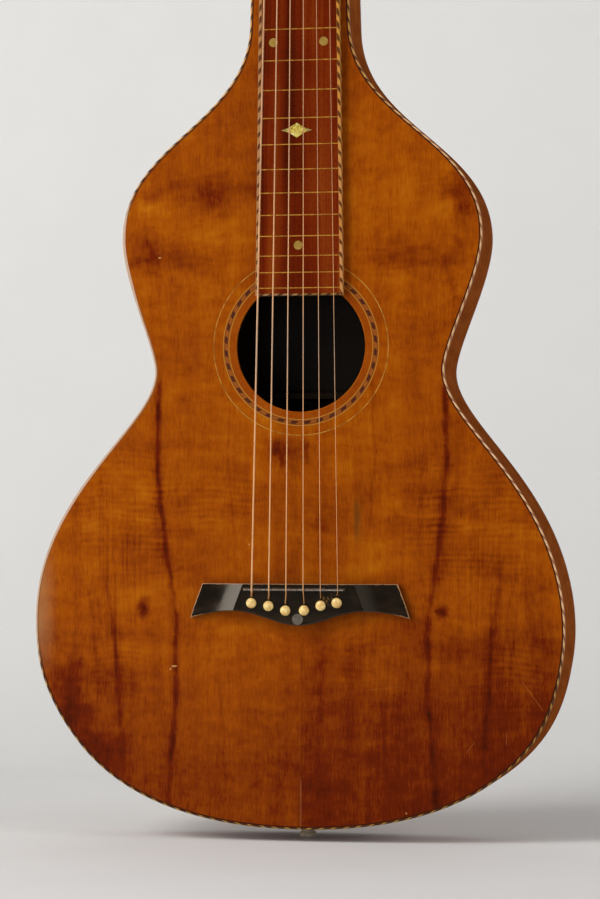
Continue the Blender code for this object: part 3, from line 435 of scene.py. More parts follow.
def koa_tone(x, z, seam, curl_share, seed, where=None, calm=0.0):
    """The tone of plain bookmatched koa, about 0.6 on average, its pores and its curl lines."""
    half = abs(x - seam)
    side = x.step(seam - 0.6, seam + 0.6) * 0.35
    grain = half + swing(half * 0.011, z * 0.0045, side + seed, 2.0) * 22
    broad = swing(grain * 0.045, z * 0.0022, side + seed + 4.0, 3.0, 0.55)
    narrow = swing(grain * 0.30, z * 0.008, side + seed + 8.0, 3.0, 0.6)
    fleck = swing(grain * 1.05, z * 0.105, seed + 12.0, 3.0, 0.65)
    cloud = swing(half * 0.016, z * 0.034, side * 2 + seed + 16.0, 4.0, 0.62, 0.5)
    mottle = swing(half * 0.10, z * 0.13, side * 2 + seed + 18.0, 3.0, 0.6, 0.4)
    fold = swing(half * 0.018, z * 0.016, side + seed + 20.0, 2.0)
    wave = noise(half * 0.034 + fold, z * 0.15 + fold * 3.0, side * 4 + seed + 24.0, 3.0, 0.5)
    curl = (z * 0.215 + fold * 3.2).zigzag().step(0.12, 1.0) * wave.step(0.38, 0.60)
    if where is None:
        where = noise(half * 0.012, z * 0.009, side * 3 + seed + 28.0, 1.0).step(0.40, 0.62)
    pores = noise(grain * 2.6, z * 0.13, seed + 32.0, 1.0).step(0.60, 0.72)
    tone = (0.605 + broad * 0.34 + narrow * 0.22 + fleck * 0.40 + cloud * (0.60 - calm * 0.32) + mottle * 0.30
            + (wave - 0.5) * (where * 0.7 + 0.3) * curl_share * 0.24
            - curl * where * curl_share * 0.085 - pores * 0.06)
    return tone, pores, curl * where


def koa(name, seed, lift, inside=False):
    """Koa of another plank, lighter by lift. On the inside of the back it is painted near black, as painted shade
    inside the body.
    """
    wood = Finish(name, Specular_IOR_Level=0.10)
    x, y, z = wood.place()
    tone, pores, _ = koa_tone(x, z, seam=0.5, curl_share=1.3, seed=seed)
    colour = ramp(tone + lift, KOA)
    if inside:
        # Painted shade: the inner face of the back is coloured near black, for the dark inside of the body.
        inner_face_shade = (y + z * BACK_SLOPE).step(depth_at(0) - 1.2, depth_at(0) - 1.8)
        colour = mix(colour, (0.008, 0.0042, 0.0018), inner_face_shade)
    wear = noise(x * 0.03, y * 0.03, z * 0.03 + seed, 3.0)
    return wood.paint(colour, wear * 0.15 + 0.22, height=pores * -0.04)


koa_back = koa("koa_back", 50.0, -0.04, inside=True)
koa_head = koa("koa_head", 90.0, -0.06)
print("koa for the back and the head")

# %% [markdown]
# ## The front, with its own marks
# No two planks are alike, and this one shows its years. Two dark streaks mirror each other through the lower
# bout, each with a knot beside the bridge; the tail end is redder and darker, most of all on the treble half, partly
# through the wood's own tone and partly through painted shade where the light falls off; two smudges lie under the
# soundhole; and there are a crack in the seam, a filled split, chips and a long scratch. A painted shadow lies along
# the bass edge of the board, and a painted sheen along the bass rim of the lower bout.
# Each mark is a soft mask round a line or a spot, subtracted from the tone of the plain wood. The masks come from
# short tables, so that moving a mark means changing one number.

# %% Tools for marks
front = Finish("koa_front", Specular_IOR_Level=0.05)
x, y, z = front.place()
SEAM = 0.3
half = abs(x - SEAM)
wobble = swing(x * 0.02, z * 0.035, 3.0, 3.0) * 4
ragged = noise(x * 0.12, z * 0.06, 40.0, 3.0)
soft_place = front.point(x + swing(x * 0.03, z * 0.05, 44.0, 3.0, 0.6) * 36, 0,
                         z + swing(x * 0.02, z * 0.05, 48.0, 3.0, 0.6) * 30)
small_place = front.point(x + swing(x * 0.25, z * 0.25, 52.0, 2.0) * 5, 0, z)


def spots(rows, where=small_place):
    """Soft round or long marks, added up. Each row is (x, z, reach across, reach up, weight)."""
    total = 0
    for at_x, at_z, reach_x, reach_z, weight in rows:
        scaled = front.node("ShaderNodeVectorMath", {"operation": "MULTIPLY_ADD"}, {
            0: where, 1: (1 / reach_x, 1, 1 / reach_z), 2: (-at_x / reach_x, 0, -at_z / reach_z)})
        away = front.node("ShaderNodeVectorMath", {"operation": "LENGTH"}, {0: scaled}, output="Value")
        total = away.step(1.0, 0.0) * weight + total
    return total


def path(knots):
    """How far from the seam a line of (z, x) knots runs, as a smooth change over z."""
    line = knots[0][1]
    for (high, x_high), (low, x_low) in zip(knots, knots[1:]):
        line = z.step(high, low) * (x_low - x_high) + line
    return line


def streaks(rows):
    """Dark lines along the grain, the same in both halves. Each row is (line, reach, top, bottom, fade, weight)."""
    total = 0
    for line, reach, top, bottom, fade, weight in rows:
        inside = z.step(bottom - fade, bottom + fade) * z.step(top + fade, top - fade)
        total = (half + wobble - line).near(0, reach) * inside * weight + total
    return total


print("tools for spots and streaks")

# %% Koa of the soundboard
CURLY = [(-128, 58, 60, 75, 1.0), (-60, 62, 45, 40, 0.7), (120, 52, 80, 75, 1.0), (150, -60, 60, 70, 0.5),
         (-135, -50, 50, 60, 0.5), (40, -50, 60, 40, 0.4), (60, 240, 60, 40, 0.4), (-70, 240, 60, 40, 0.4),
         (0, 60, 60, 60, 0.4)]
ZONES = [(-45, 330, 48, 31.2, -0.10), (-62, 285, 72, 20.4, -0.20), (-68, 258, 50.4, 19.2, 0.12),
         (-92, 232, 40.8, 14.4, -0.14), (-113, 243, 20.4, 25.2, -0.20), (-109, 243, 4.8, 26.4, -0.10),
         (-112, 273, 18, 10.8, 0.10), (-117, 217, 12, 9.6, 0.08), (62, 268, 60, 21.6, 0.09),
         (84, 236, 50.4, 15.6, -0.13), (117, 278, 19.2, 25.2, -0.25), (109, 222, 7.2, 52.8, -0.12),
         (120, 224, 10.8, 28.8, 0.11), (60, 306, 60, 40.8, 0.09), (-96, 128, 36, 40.8, 0.09),
         (78, 128, 48, 31.2, 0.07), (46, 20, 16.8, 40.8, 0.11), (-50, -62, 84, 72, 0.05),
         (-168, -84, 24, 40.8, -0.30), (-148, -118, 31.2, 21.6, -0.22), (-128, -62, 36, 16.8, -0.08),
         (0, 60, 84, 48, -0.04), (-120, 60, 60, 48, 0.04), (166, 36, 16.8, 20.4, 0.12), (135, 17, 26.4, 10.8, -0.10),
         (125, -40, 40.8, 19.2, -0.10), (60, -50, 16.8, 31.2, 0.06), (-150, 20, 24, 48, 0.05)]
calm = z.step(-25, -85)
tone, pores, curl = koa_tone(x, z, SEAM, 1.0, 0.0, spots(CURLY, soft_place).step(0.05, 0.6), calm)
treble = x.step(-0.4, 1.4)
tail = z.step(10, -150)
flank = abs(x).step(60, 185)
# Painted shadow: a dark band on the soundboard along the bass edge of the board, standing for the board's shade.
painted_board_shadow = (x - z * BOARD_TAPER).near(-34.37, 6) * z.step(204, 214)
# Darker towards the tail, most of all on the treble half and the flanks: partly the wood's own redder tone, partly
# painted shade where the light falls off towards the bottom.
tone = (tone - tail * (0.19 + treble * 0.05) - tail * flank * 0.08 - treble * z.step(0, -50) * 0.06
        - painted_board_shadow * 0.06 + spots(ZONES, soft_place))
main = path([(150, 103.8), (118, 104.4), (88, 105.2), (62, 103), (35, 99.8), (6, 95.3), (-24, 91.3), (-57, 91.8),
             (-73, 91.2), (-108, 94.3), (-151, 97.2)])
outer = path([(30, 147), (10, 144.5), (-22, 138.5), (-57, 135.3), (-74, 134.4), (-120, 131)])
dark = streaks([
    (main, 3.4, 150, -172, 14, 0.24 - treble * 0.06), (main + 1, 8, 150, -165, 14, 0.07),
    (main, 15, 150, -168, 14, 0.05 + curl * 0.06), (main - 52, 1.8, 150, 40, 14, 0.08),
    (main - 34, 2.0, -60, -150, 14, 0.06), (outer, 3.4, 25, -115, 34, 0.07), (outer, 3.4, -10, -115, 24, 0.08),
    (outer, 9, 20, -120, 14, 0.06), (outer + 9, 2.0, 25, -60, 14, 0.07), (outer + 15, 2.0, 0, -90, 14, 0.06),
    (outer - 75, 2.2, -60, -150, 14, 0.06)])
knots = spots([(-115, -13.5, 7.5, 11.5, 0.58), (101.5, -15.0, 6.5, 7.5, 0.58)])
halos = spots([(-115, -13.5, 13, 14, 0.05), (101.5, -15.0, 13, 14, 0.05)], soft_place)
threads = (noise(half * 0.34 + wobble * 0.1, z * 0.006, 90.0, 2.0).step(0.50, 0.66)
           * spots([(-138, 5, 42, 115, 0.13), (132, -20, 40, 90, 0.104)], soft_place))
smudge = (spots([(-17.5, 102, 6.5, 10, 0.28), (-13.5, 90, 4, 10, 0.24), (-22, 92, 3, 8, 0.15),
                 (3.2, 99, 4.5, 13, 0.28)]) + spots([(-8, 100, 26, 22, 0.10)], soft_place))
rim = abs(x).step(158, 192) * z.step(0, -60) * 0.10
tone = tone - (dark * (1 - tail * 0.3) + knots + smudge) * (ragged * 2.4 - 0.2) + halos - threads - rim
print("koa of the front, with", len(ZONES), "zones, streaks, knots and smudges")

# %% Cracks, chips and scratches
def line_mark(at_x, at_z, way_x, way_z, length, width=0.42):
    """A straight thin mark: its middle, its direction and its length."""
    size = math.hypot(way_x, way_z)
    way_x, way_z = way_x / size, way_z / size
    off = (x - at_x) * way_z - (z - at_z) * way_x
    along = (x - at_x) * way_x + (z - at_z) * way_z
    return off.near(0, width) * abs(along).step(length / 2, length / 2 - 2)


seam_mark = (x + wobble * 0.1).near(0.4, 1.0) * z.step(-22, -60)
crack = (x + swing(x * 0.01, z * 0.2, 60.0) * 1.2).near(0.2, 0.40) * z.step(-132, -140)
crack_shade = (x + 1.2).near(0.0, 4.0) * z.step(-90, -140)
splinters = noise(x * 0.9, z * 0.13, 64.0, 3.0, 0.6)
split = ((x + wobble * 0.7).near(40.5, 3.6) * splinters).step(0.30, 0.44) * z.step(32, 44) * z.step(67, 56)
split_halo = (x + wobble * 0.3).near(41, 6) * z.step(22, 40) * z.step(74, 58)
scratch = (line_mark(166, -74, -0.589, 0.808, 27) + line_mark(122, -111, 15, 20, 12, 0.5) * 0.8
           + line_mark(147.5, -104, 0, 1, 11) + line_mark(60, -70, 1, 0.1, 26) * 0.4)
chips = spots([(-92.5, -55.6, 2.8, 1.2, 1), (-95.0, -57.6, 1.3, 1.8, 1), (-103, 238.3, 1.3, 1.1, 1),
               (76, -158, 0.9, 1.2, 1), (-37, 32, 0.8, 0.8, 1)]).step(0.2, 0.6)
speckle = noise(x * 0.8, z * 0.7, 70.0, 2.0).step(0.735, 0.79)
# Painted sheen: a pale haze along the bass rim of the lower bout, standing for the rounded edge's reflection of the
# light from the left.
bass_rim_sheen = x.step(-178, -197) * z.step(-70, -25) * z.step(44, 0) * (noise(x * 0.1, z * 0.04, 84.0, 3.0) + 0.4)
from_hole = from_axis(x, z - HOLE_Z)
colour = over(
    ramp(tone, KOA), ((0.24, 0.042, 0.002), from_hole.step(53.5, 51.5) * 0.58),
    ((0.10, 0.012, 0.001), seam_mark * 0.35 + crack_shade * 0.30), ((0.20, 0.070, 0.004), split_halo * 0.30),
    ((0.125, 0.040, 0.003), split * 0.65), ((0.36, 0.13, 0.05), crack * 0.7), ((0.46, 0.17, 0.03), scratch * 0.35),
    ((0.50, 0.26, 0.08), chips * 0.8), ((0.48, 0.17, 0.02), speckle * 0.25), ((0.36, 0.19, 0.08), bass_rim_sheen * 0.65))
ripple = noise(x * 0.02, z * 0.02, 80.0, 2.0)
front.paint(colour, noise(x * 0.05, z * 0.05, 75.0, 3.0) * 0.15 + 0.22, strength=0.6,
            height=pores * -0.03 - split * 0.12 - crack * 0.1 - scratch * 0.04 - chips * 0.08 + ripple * 0.25)
print("wear on the front")

# %% [markdown]
# ## Sides, inside woods and dark board
# The sides are bent strips of plainer, redder koa, so their grain runs along the strip: the lay of each point,
# measured along the edge, carries it round every bend. The inside is bare wood that nobody polished, painted near
# black as shade, since little light gets into the body. The board that the strings are stopped over is dense
# red-brown wood with darker bands and short open pores.

# %% Side, inside and board finishes
side_koa = Finish("side_koa", Specular_IOR_Level=0.0)
along, down = side_koa.lay()
waver = swing(along * 0.006, down * 0.02, 2.0, 2.0)
lines = noise(along * 0.012, down * 0.35 + waver * 3, 5.0, 4.0, 0.6)
curl = swing(along * 0.11 + waver * 4, down * 0.02, 9.0, 2.0)
pore = noise(along * 0.18, down * 3.2, 12.0, 1.0).step(0.6, 0.72)
tone = 0.5 + (lines - 0.5) * 0.9 + curl * 0.5 - pore * 0.15
side_koa.paint(ramp(tone, [(0.0, (0.06, 0.012, 0.003)), (0.5, (0.215, 0.052, 0.010)), (1.0, (0.36, 0.11, 0.022))]),
               lines * 0.2 + 0.45, height=pore * -0.04)


def shaded_inside_wood(name, deep, pale, axis):
    """Unpolished wood whose grain runs along one axis, in colours dark enough to be painted shade inside the body."""
    wood = Finish(name, Specular_IOR_Level=0.05)
    spot = wood.place()
    grain = noise(*(place * (0.012 if index == axis else 0.5) for index, place in enumerate(spot)), 4.0, 0.6)
    fuzz = noise(*(place * 1.5 for place in spot), 2.0)
    return wood.paint(ramp(grain * 1.5 - 0.25, [(0.0, deep), (1.0, pale)]), fuzz * 0.2 + 0.6,
                      height=grain * 0.15 + fuzz * 0.05)


# Painted shade: the woods inside are coloured near black, for the shade inside the body.
spruce = shaded_inside_wood("spruce_inside_shade", (0.008, 0.0045, 0.0025), (0.018, 0.011, 0.006), 0)
mahogany = shaded_inside_wood("mahogany_inside_shade", (0.008, 0.0035, 0.002), (0.018, 0.008, 0.004), 2)
maple = shaded_inside_wood("maple_inside_shade", (0.010, 0.006, 0.003), (0.020, 0.012, 0.006), 0)

board_wood = Finish("board_wood", Specular_IOR_Level=0.02)
x, y, z = board_wood.place()
waver = swing(x * 0.02, z * 0.004, 2.0, 2.0)
wide = swing((x + 6) * 0.085 + waver * 1.6, z * 0.0013, 5.0, 2.0)
lines = noise(x * 0.7 + waver * 6, z * 0.008, 8.0, 4.0, 0.6)
patch = swing(x * 0.03, z * 0.02, 10.0, 2.0)
pore = noise(x * 3.6, z * 0.28, 12.0, 1.0).step(0.57, 0.68)
middle = x.near(-8, 13) * z.step(250, 300)
tone = (0.53 + wide * 1.25 + (lines - 0.5) * 0.6 + patch * 0.4 - pore * 0.24 - middle * 0.12
        - z.step(280, 400) * (x.step(8, 24) * 0.16 + 0.03))
board_wood.paint(ramp(tone, [(0.0, (0.030, 0.0030, 0.0004)), (0.45, (0.140, 0.0130, 0.0010)),
                             (1.0, (0.28, 0.060, 0.006))]),
                 lines * 0.15 + 0.25, height=pore * -0.06, strength=0.6)
print("side koa, bare woods and board wood")

# %% [markdown]
# ## Rope marquetry
# Makers of these guitars bordered every edge with rope: short slanted blocks of pale and dark wood, glued up in
# sheets, sawn into strips and let into the edge. The blocks could be separate solids, but a thousand of them would
# say no more than a rule does. So the rule is the finish: wrap the length along the strip, slant it by the width
# across it, and call about four tenths of each length dark. The body's rope has aged: it is golden at the tail and
# faded on the treble side. Along the bass side its outer edge is painted pale, a painted highlight where the rounded
# edge catches the light from the left.

# %% Rope finishes
def rope(name, pitch, slant, dark_share, more_dark, pale, dark, lines=(), body=False):
    """Slanted blocks along a strip. Each line is (low, high, colour), across the strip."""
    wood = Finish(name, Specular_IOR_Level=0.08)
    along, across = wood.lay()
    x, y, z = wood.place()
    uneven = swing(along * 0.11, 3.0, 1.0, 1.0) * 1.6 + swing(along * 0.7, across * 1.5, 2.0, 2.0) * 2.0
    tail = z.step(-20, -90)
    start = 1 - dark_share - (tail if body else along.step(290, 420)) * more_dark
    block = ((along + uneven + across * slant) * (1 / pitch)).zigzag().step(start - 0.08, start + 0.08)
    grain = noise(along * 0.5, across * 4.0, 4.0, 3.0)
    age = noise(along * 0.02, across * 0.1, 7.0, 2.0)
    light = over(pale, ((0.64, 0.36, 0.17), age.step(0.35, 0.7) * grain),
                 ((0.55, 0.235, 0.028), z.step(250, 420) * 0.75))
    if body:
        faded = x.step(45, 95) * z.step(-70, -10)
        light = over(light, ((0.36, 0.175, 0.020), tail * 0.85),
                     ((0.80, 0.48, 0.25), faded * (0.85 - z.step(110, 200) * 0.3)))
        dark = mix(dark, (0.34, 0.12, 0.045), faded * 0.8)
    else:
        light = mix(light, (0.26, 0.14, 0.065), x.step(0, -10) * 0.7)
    colour = mix(light, dark, block * (0.76 + grain * 0.3))
    for low, high, shade in lines:
        reach = (high - low) / 2
        colour = mix(colour, shade, abs(across - (low + high) / 2).step(reach + 0.06, reach - 0.06))
    if body:
        wide = 1.35 + z.near(238, 46) * 1.4 + z.near(60, 70) * 0.7
        # Painted highlight: along the bass side the rope's outer edge is painted pale pink, and its dark inner line
        # lighter, standing for the rounded edge catching the light from the left. The bare mask is this painted pale
        # band.
        bass_rim_glare = x.step(-60, -100) * z.step(-62, -25) * z.step(290, 262)
        bare = bass_rim_glare * (across - wide + (grain - 0.5) * 0.5).step(0.15, -0.15)
        colour = over(colour, ((0.19, 0.052, 0.012), across.step(-0.1, -0.6) * 0.9),
                      ((0.26, 0.10, 0.03), bass_rim_glare * across.step(1.0, 1.4) * 0.85), ((0.50, 0.34, 0.24), bare * 0.9))
    return wood.paint(colour, grain * 0.2 + 0.3, height=block * -0.03 + grain * 0.02)


body_rope = rope("body_rope", 9.1, 2.4, 0.40, 0.26, (0.50, 0.29, 0.12), (0.045, 0.010, 0.003),
                 [(1.25, 2.6, (0.036, 0.007, 0.002))], body=True)
board_rope = rope("board_rope", 9.1, -1.3, 0.34, 0.20, (0.46, 0.175, 0.032), (0.060, 0.012, 0.003),
                  [(-0.1, 0.2, (0.46, 0.22, 0.07)), (2.1, 2.5, (0.34, 0.13, 0.030))])
end_rope = rope("end_rope", 7.0, 1.0, 0.45, 0.0, (0.20, 0.10, 0.025), (0.05, 0.014, 0.004))
print("rope for the body, the board and the board's end")

# %% Rope of the rosette
RING_MIDDLE = 54.5
BLOCKS_ROUND = 36
ring_rope = Finish("ring_rope", Specular_IOR_Level=0.12)
x, y, z = ring_rope.place()
away = z - HOLE_Z
radius = from_axis(x, away)
turn_share = ring_rope.sum("ARCTAN2", away, x) * (BLOCKS_ROUND / (2 * math.pi))
block = (turn_share + (radius - RING_MIDDLE) * 0.07).zigzag().step(0.53, 0.45) * radius.near(RING_MIDDLE, 1.6) * 1.5
fine = noise(x * 0.4, z * 0.4, 3.0, 3.0)
borders = radius.near(52.4, 0.40) + radius.near(56.6, 0.40)
gutters = radius.near(53.1, 0.35) + radius.near(55.9, 0.35)
colour = over(mix((0.20, 0.044, 0.003), (0.31, 0.085, 0.005), fine), ((0.10, 0.022, 0.002), gutters * 0.7),
              ((0.50, 0.23, 0.020), borders * 0.85),
              ((0.055, 0.010, 0.003), block.step(0.35, 0.5) * (fine.step(0.2, 0.5) * 0.3 + 0.7)))
ring_rope.paint(colour, fine * 0.2 + 0.35, height=borders * 0.03)

thin_line = Finish("thin_line", Specular_IOR_Level=0.12)
x, y, z = thin_line.place()
worn = noise(x * 0.15, z * 0.15, 5.0, 3.0)
thin_line.paint(mix((0.24, 0.085, 0.006), (0.42, 0.19, 0.025), worn.step(0.35, 0.6)), worn * 0.2 + 0.3)
print("rope of the rosette and its thin outer line")

# %% [markdown]
# ## Small finishes
# The bridge is a pale wood under black lacquer, so where its sharp edges have worn, the wood comes through. Its
# mesh carries the distances to the edge and to the block in its lay, and the wear follows the first. On the wings next
# to the block a faint grey sheen is painted, standing for the lamps' reflection. Ivoroid is a yellowed plastic with
# faint streaks. Flush frets are brass, the marks are pearl, and the fittings are dull nickel.

# %% Bridge, ivoroid, bone and pearl
lacquer = Finish("black_lacquer", Specular_IOR_Level=0.42, Specular_Tint=(1.0, 0.86, 0.70, 1))
x, y, z = lacquer.place()
edge, past = lacquer.lay()
chipped = noise(x * 0.35, y * 0.3, z * 0.5, 3.0, 0.6)
worn = (edge - chipped * 1.3).step(0.10, -0.25) * (z.step(-14, -4) * 0.95 + 0.05 + abs(x).step(66, 74))
haze = noise(x * 0.05, z * 0.12, 4.0, 3.0).step(0.4, 0.7)
glue = noise(x * 0.4, 3.0, z * 0.4, 3.0, 0.6).step(0.48, 0.62) * x.near(22.7, 11) * z.near(-7, 6)
# Painted sheen: a faint grey on the wings next to the block, standing for the lamps' reflection in the scooped lacquer.
painted_wing_sheen = past.step(14, 2) * past.step(0.0, 0.6)
flecks = noise(x * 0.9, 5.0, z * 0.9, 2.0).step(0.70, 0.76)
colour = over((0.0045, 0.0022, 0.0007), ((0.015, 0.0075, 0.0025), haze * 0.7), ((0.036, 0.029, 0.022), painted_wing_sheen * 0.7),
              ((0.15, 0.10, 0.04), flecks * 0.5), ((0.36, 0.17, 0.07), worn * 0.75), ((0.22, 0.10, 0.015), glue * 0.7))
lacquer.paint(colour, haze * 0.08 + worn * 0.3 + glue * 0.2 + 0.12, strength=0.6,
              height=noise(x * 0.8, y * 0.8, z * 0.8, 2.0) * 0.03 - worn * 0.03)


def ivoroid(name, deep, pale, shine=0.3, rim_at=None):
    """Yellowed plastic with faint streaks and grime in its pits. A rim has orange blotches and a brown edge."""
    plastic = Finish(name, Specular_IOR_Level=0.4)
    x, y, z = plastic.place()
    streaky = noise(x * 0.5, y * 0.12, z * 0.5, 3.0).step(0.3, 0.7)
    grime = noise(x * 1.3, y * 1.3, z * 1.3, 3.0, 0.6).step(0.56, 0.75)
    colour = over(mix(deep, pale, streaky), ((0.20, 0.09, 0.02), grime * (0.5 if rim_at else 0.3)))
    if rim_at:
        blotch = noise(x * 0.35 + 5.0, y * 0.35, z * 0.35, 3.0, 0.6).step(0.42, 0.66)
        colour = over(colour, ((0.66, 0.33, 0.10), blotch * 0.6),
                      ((0.36, 0.13, 0.012), y.step(rim_at - 1.6, rim_at) * 0.8))
    return plastic.paint(colour, grime * 0.3 + shine, height=grime * -0.05)


pin_ivory = ivoroid("pin_ivory", (0.66, 0.44, 0.13), (0.90, 0.70, 0.28), rim_at=-10.8)
end_ivory = ivoroid("end_ivory", (0.34, 0.29, 0.20), (0.50, 0.44, 0.33))
button_ivory = ivoroid("button_ivory", (0.55, 0.42, 0.17), (0.72, 0.60, 0.30))
nut_bone = ivoroid("nut_bone", (0.50, 0.42, 0.26), (0.66, 0.58, 0.40), 0.4)

pearl = Finish("pearl", Specular_IOR_Level=0.5, Coat_Weight=0.3, Coat_Roughness=0.1)
x, y, z = pearl.place()
cloud = noise(x * 0.28, 2.0, z * 0.45, 3.0, 0.5, 1.2)
colour = ramp(cloud.step(0.25, 0.75), [
    (0.0, (0.20, 0.12, 0.010)), (0.35, (0.48, 0.34, 0.035)), (0.6, (0.80, 0.64, 0.14)), (0.8, (0.30, 0.22, 0.02)),
    (1.0, (0.95, 0.86, 0.42))])
pearl.paint(mix(colour, (0.16, 0.10, 0.035), abs(x - DIAMOND_X).step(4.5, 8.5) * 0.7), cloud * 0.2 + 0.2)
dull_pearl = Finish("dull_pearl", Specular_IOR_Level=0.3)
x, y, z = dull_pearl.place()
cloud = noise(x * 0.5, 2.0, z * 0.6, 3.0, 0.5, 0.8)
dull_pearl.paint(ramp(cloud, [(0.3, (0.22, 0.130, 0.018)), (0.6, (0.35, 0.215, 0.035)), (0.8, (0.30, 0.20, 0.04))]),
                 cloud * 0.2 + 0.25)
grey_dot = Finish("grey_dot", Specular_IOR_Level=0.4)
x, y, z = grey_dot.place()
cloud = noise(x * 0.5, 1.0, z * 0.5, 3.0)
grey_dot.paint(ramp(cloud, [(0.3, (0.060, 0.050, 0.036)), (0.7, (0.14, 0.115, 0.085))]), cloud * 0.2 + 0.3)
print("lacquer, ivoroid, bone and pearl")

# %% Metals
def metal(name, deep, bright, shine, scale=1.0, shininess=1.0):
    """Handled metal: bright where fingers rub, dull and brown in between."""
    plating = Finish(name, Metallic=shininess, Specular_IOR_Level=0.15)
    x, y, z = plating.place()
    cloud = noise(x * 0.15 * scale, y * 0.15 * scale, z * 0.15 * scale, 4.0, 0.6)
    pits = noise(x * 1.8, y * 1.8, z * 1.8, 2.0).step(0.60, 0.72)
    colour = over(deep, (bright, cloud.step(0.35, 0.65)), ((0.12, 0.08, 0.04), pits * 0.5))
    return plating.paint(colour, cloud * 0.3 + pits * 0.2 + shine, height=pits * -0.03)


def wire(name, deep, bright, neck_tone, winding):
    """Bronze coloured wire, darker up the neck. Its tone along the length is a painted reflection: orange over the
    wood, greyer over the dark soundhole.
    """
    strand = Finish(name, Metallic=0.4)
    x, y, z = strand.place()
    coils = (z * 2.6 + x * 0.7).zigzag() * winding
    cloud = noise(x * 0.3, y * 0.3, z * 0.05, 2.0)
    # Painted reflection: greyer over the soundhole, where the string has no red-orange wood below it to mirror.
    colour = over(deep, (bright, coils + cloud * (1 - winding)), ((0.36, 0.28, 0.215), z.near(172, 60) * 0.6),
                  (neck_tone, z.step(225, 320) * 0.7))
    return strand.paint(colour, cloud * 0.2 + 0.25, height=coils * 0.12, strength=0.6)


nickel = metal("old_nickel", (0.46, 0.42, 0.35), (0.66, 0.63, 0.56), 0.14)
fret_brass = metal("fret_brass", (0.26, 0.105, 0.010), (0.46, 0.22, 0.022), 0.3, 2.0, 0.0)
saddle_steel = metal("saddle_steel", (0.20, 0.18, 0.15), (0.42, 0.40, 0.36), 0.2, 3.0, 0.8)
plain_wire = wire("plain_wire", (0.50, 0.23, 0.085), (0.80, 0.41, 0.165), (0.34, 0.165, 0.085), 0.0)
wound_wire = wire("wound_wire", (0.52, 0.25, 0.10), (0.78, 0.42, 0.175), (0.42, 0.225, 0.125), 0.5)
print("nickel, brass, steel and wire")

# %% [markdown]
# ## The body's edge
# The outline is five spans: the hollow neck, the shoulder, the waist, the hip and the tail. Their knots and
# handles are the same numbers that the plain model has, only with more steps, so the fine body lies exactly on
# the plain one. The rope, the sides, the soundboard and the back all follow this one line at their own distance.

# %% Outline
EDGE = run((30.0, NUT_END_Z), ((32.0748, 562.7), (34.2252, 482.0), (36.3, 404.0), 12),
           ((38.1806, 333.3), (131.1, 322.2), (131.1, 252.0), 52), ((131.1, 222.0), (105.3, 174.4), (105.3, 155.8), 30),
           ((105.3, 116.4), (192.5, 71.1), (192.5, -26.4), 44), ((192.5, -80.8), (161.5, TAIL_Z), (0, TAIL_Z), 60))
MIDDLE_LINE = [(560, 0), (380, -0.7), (262, -0.2), (160, -1.7), (20, -4.1), (-50, -3.2), (-115, 0)]
BASS_SHIFT = 4.0


def inset(distance):
    """The edge moved inwards, square to itself."""
    inner = []
    for index, (across, up) in enumerate(EDGE):
        before = EDGE[max(index - 1, 0)]
        after = EDGE[index + 1] if index + 1 < len(EDGE) else (-before[0], before[1])
        way = Vector((after[0] - before[0], after[1] - before[1])).normalized()
        inner.append((across + way.y * distance, up - way.x * distance))
    inner[0] = (inner[0][0], NUT_END_Z)
    return inner


def both_halves(half):
    return half + [(-across, up) for across, up in reversed(half[:-1])]


def stray(z):
    """How far to the treble side the middle line of this hand-bent body lies."""
    for (high, x_high), (low, x_low) in zip(MIDDLE_LINE, MIDDLE_LINE[1:]):
        if low <= z <= high:
            share = (high - z) / (high - low)
            return x_high + (x_low - x_high) * share * share * (3 - 2 * share)
    return 0.0


def body_outline(distance):
    return [(x + stray(z), z) for x, z in both_halves(inset(distance))]


def edge_strip(section, sign):
    """A strip that follows one half of the edge. Section points are (inset, y at the front, y at the back, lay)."""
    lines = {distance: inset(distance) for distance, *_ in section}
    length = 0.0 if sign > 0 else BASS_SHIFT
    rings, lay = [], []
    for index, here in enumerate(EDGE):
        length += math.dist(here, EDGE[max(index - 1, 0)])
        ring = []
        for distance, front_y, back_y, across in section:
            x_here, z_here = lines[distance][index]
            y_here = front_y if back_y is None else depth_at(z_here) - back_y
            ring.append((sign * max(x_here, 0.1) + stray(z_here), y_here, z_here))
            lay.append((length, across))
        rings.append(ring)
    return strip(rings, lay)


print("body edge:", len(EDGE), "points a half, widest", 2 * max(x for x, _ in EDGE), "mm")

# %% [markdown]
# ## Soundboard, back, sides and rope
# The soundboard is a thin plate with the soundhole and the pins' holes through it. Its rim is left just inside
# the rope. Sides and rope are strips along the edge; the rope's outer corner is rounded by years of handling.

# %% Soundboard
PIN_SPOTS = [(28.3, -9.2), (16.7, -11.2), (4.7, -14.6), (-8.8, -14.8), (-21.1, -11.6), (-33.5, -9.6)]
KEYHOLE_RADIUS = 3.05
KEYHOLE_SLOT = [(1.0, 5.5), (0.5, 5.8), (-0.5, 5.8), (-1.0, 5.5)]


def keyhole(x, z):
    """A pin's round hole with the string's slot above it."""
    lean = math.asin(1.0 / KEYHOLE_RADIUS)
    angles = [math.pi / 2 + lean + (2 * math.pi - 2 * lean) * step / 24 for step in range(25)]
    return [(x + across, z + up) for across, up in [at_angle(KEYHOLE_RADIUS, angle) for angle in angles] + KEYHOLE_SLOT]


def hole_ring(section, sides=180):
    """A ring round the soundhole from (radius, y) points."""
    return strip([[(radius * math.cos(angle), y_at, HOLE_Z + radius * math.sin(angle)) for radius, y_at in section]
                  for angle in round_steps(sides)], closed=True)


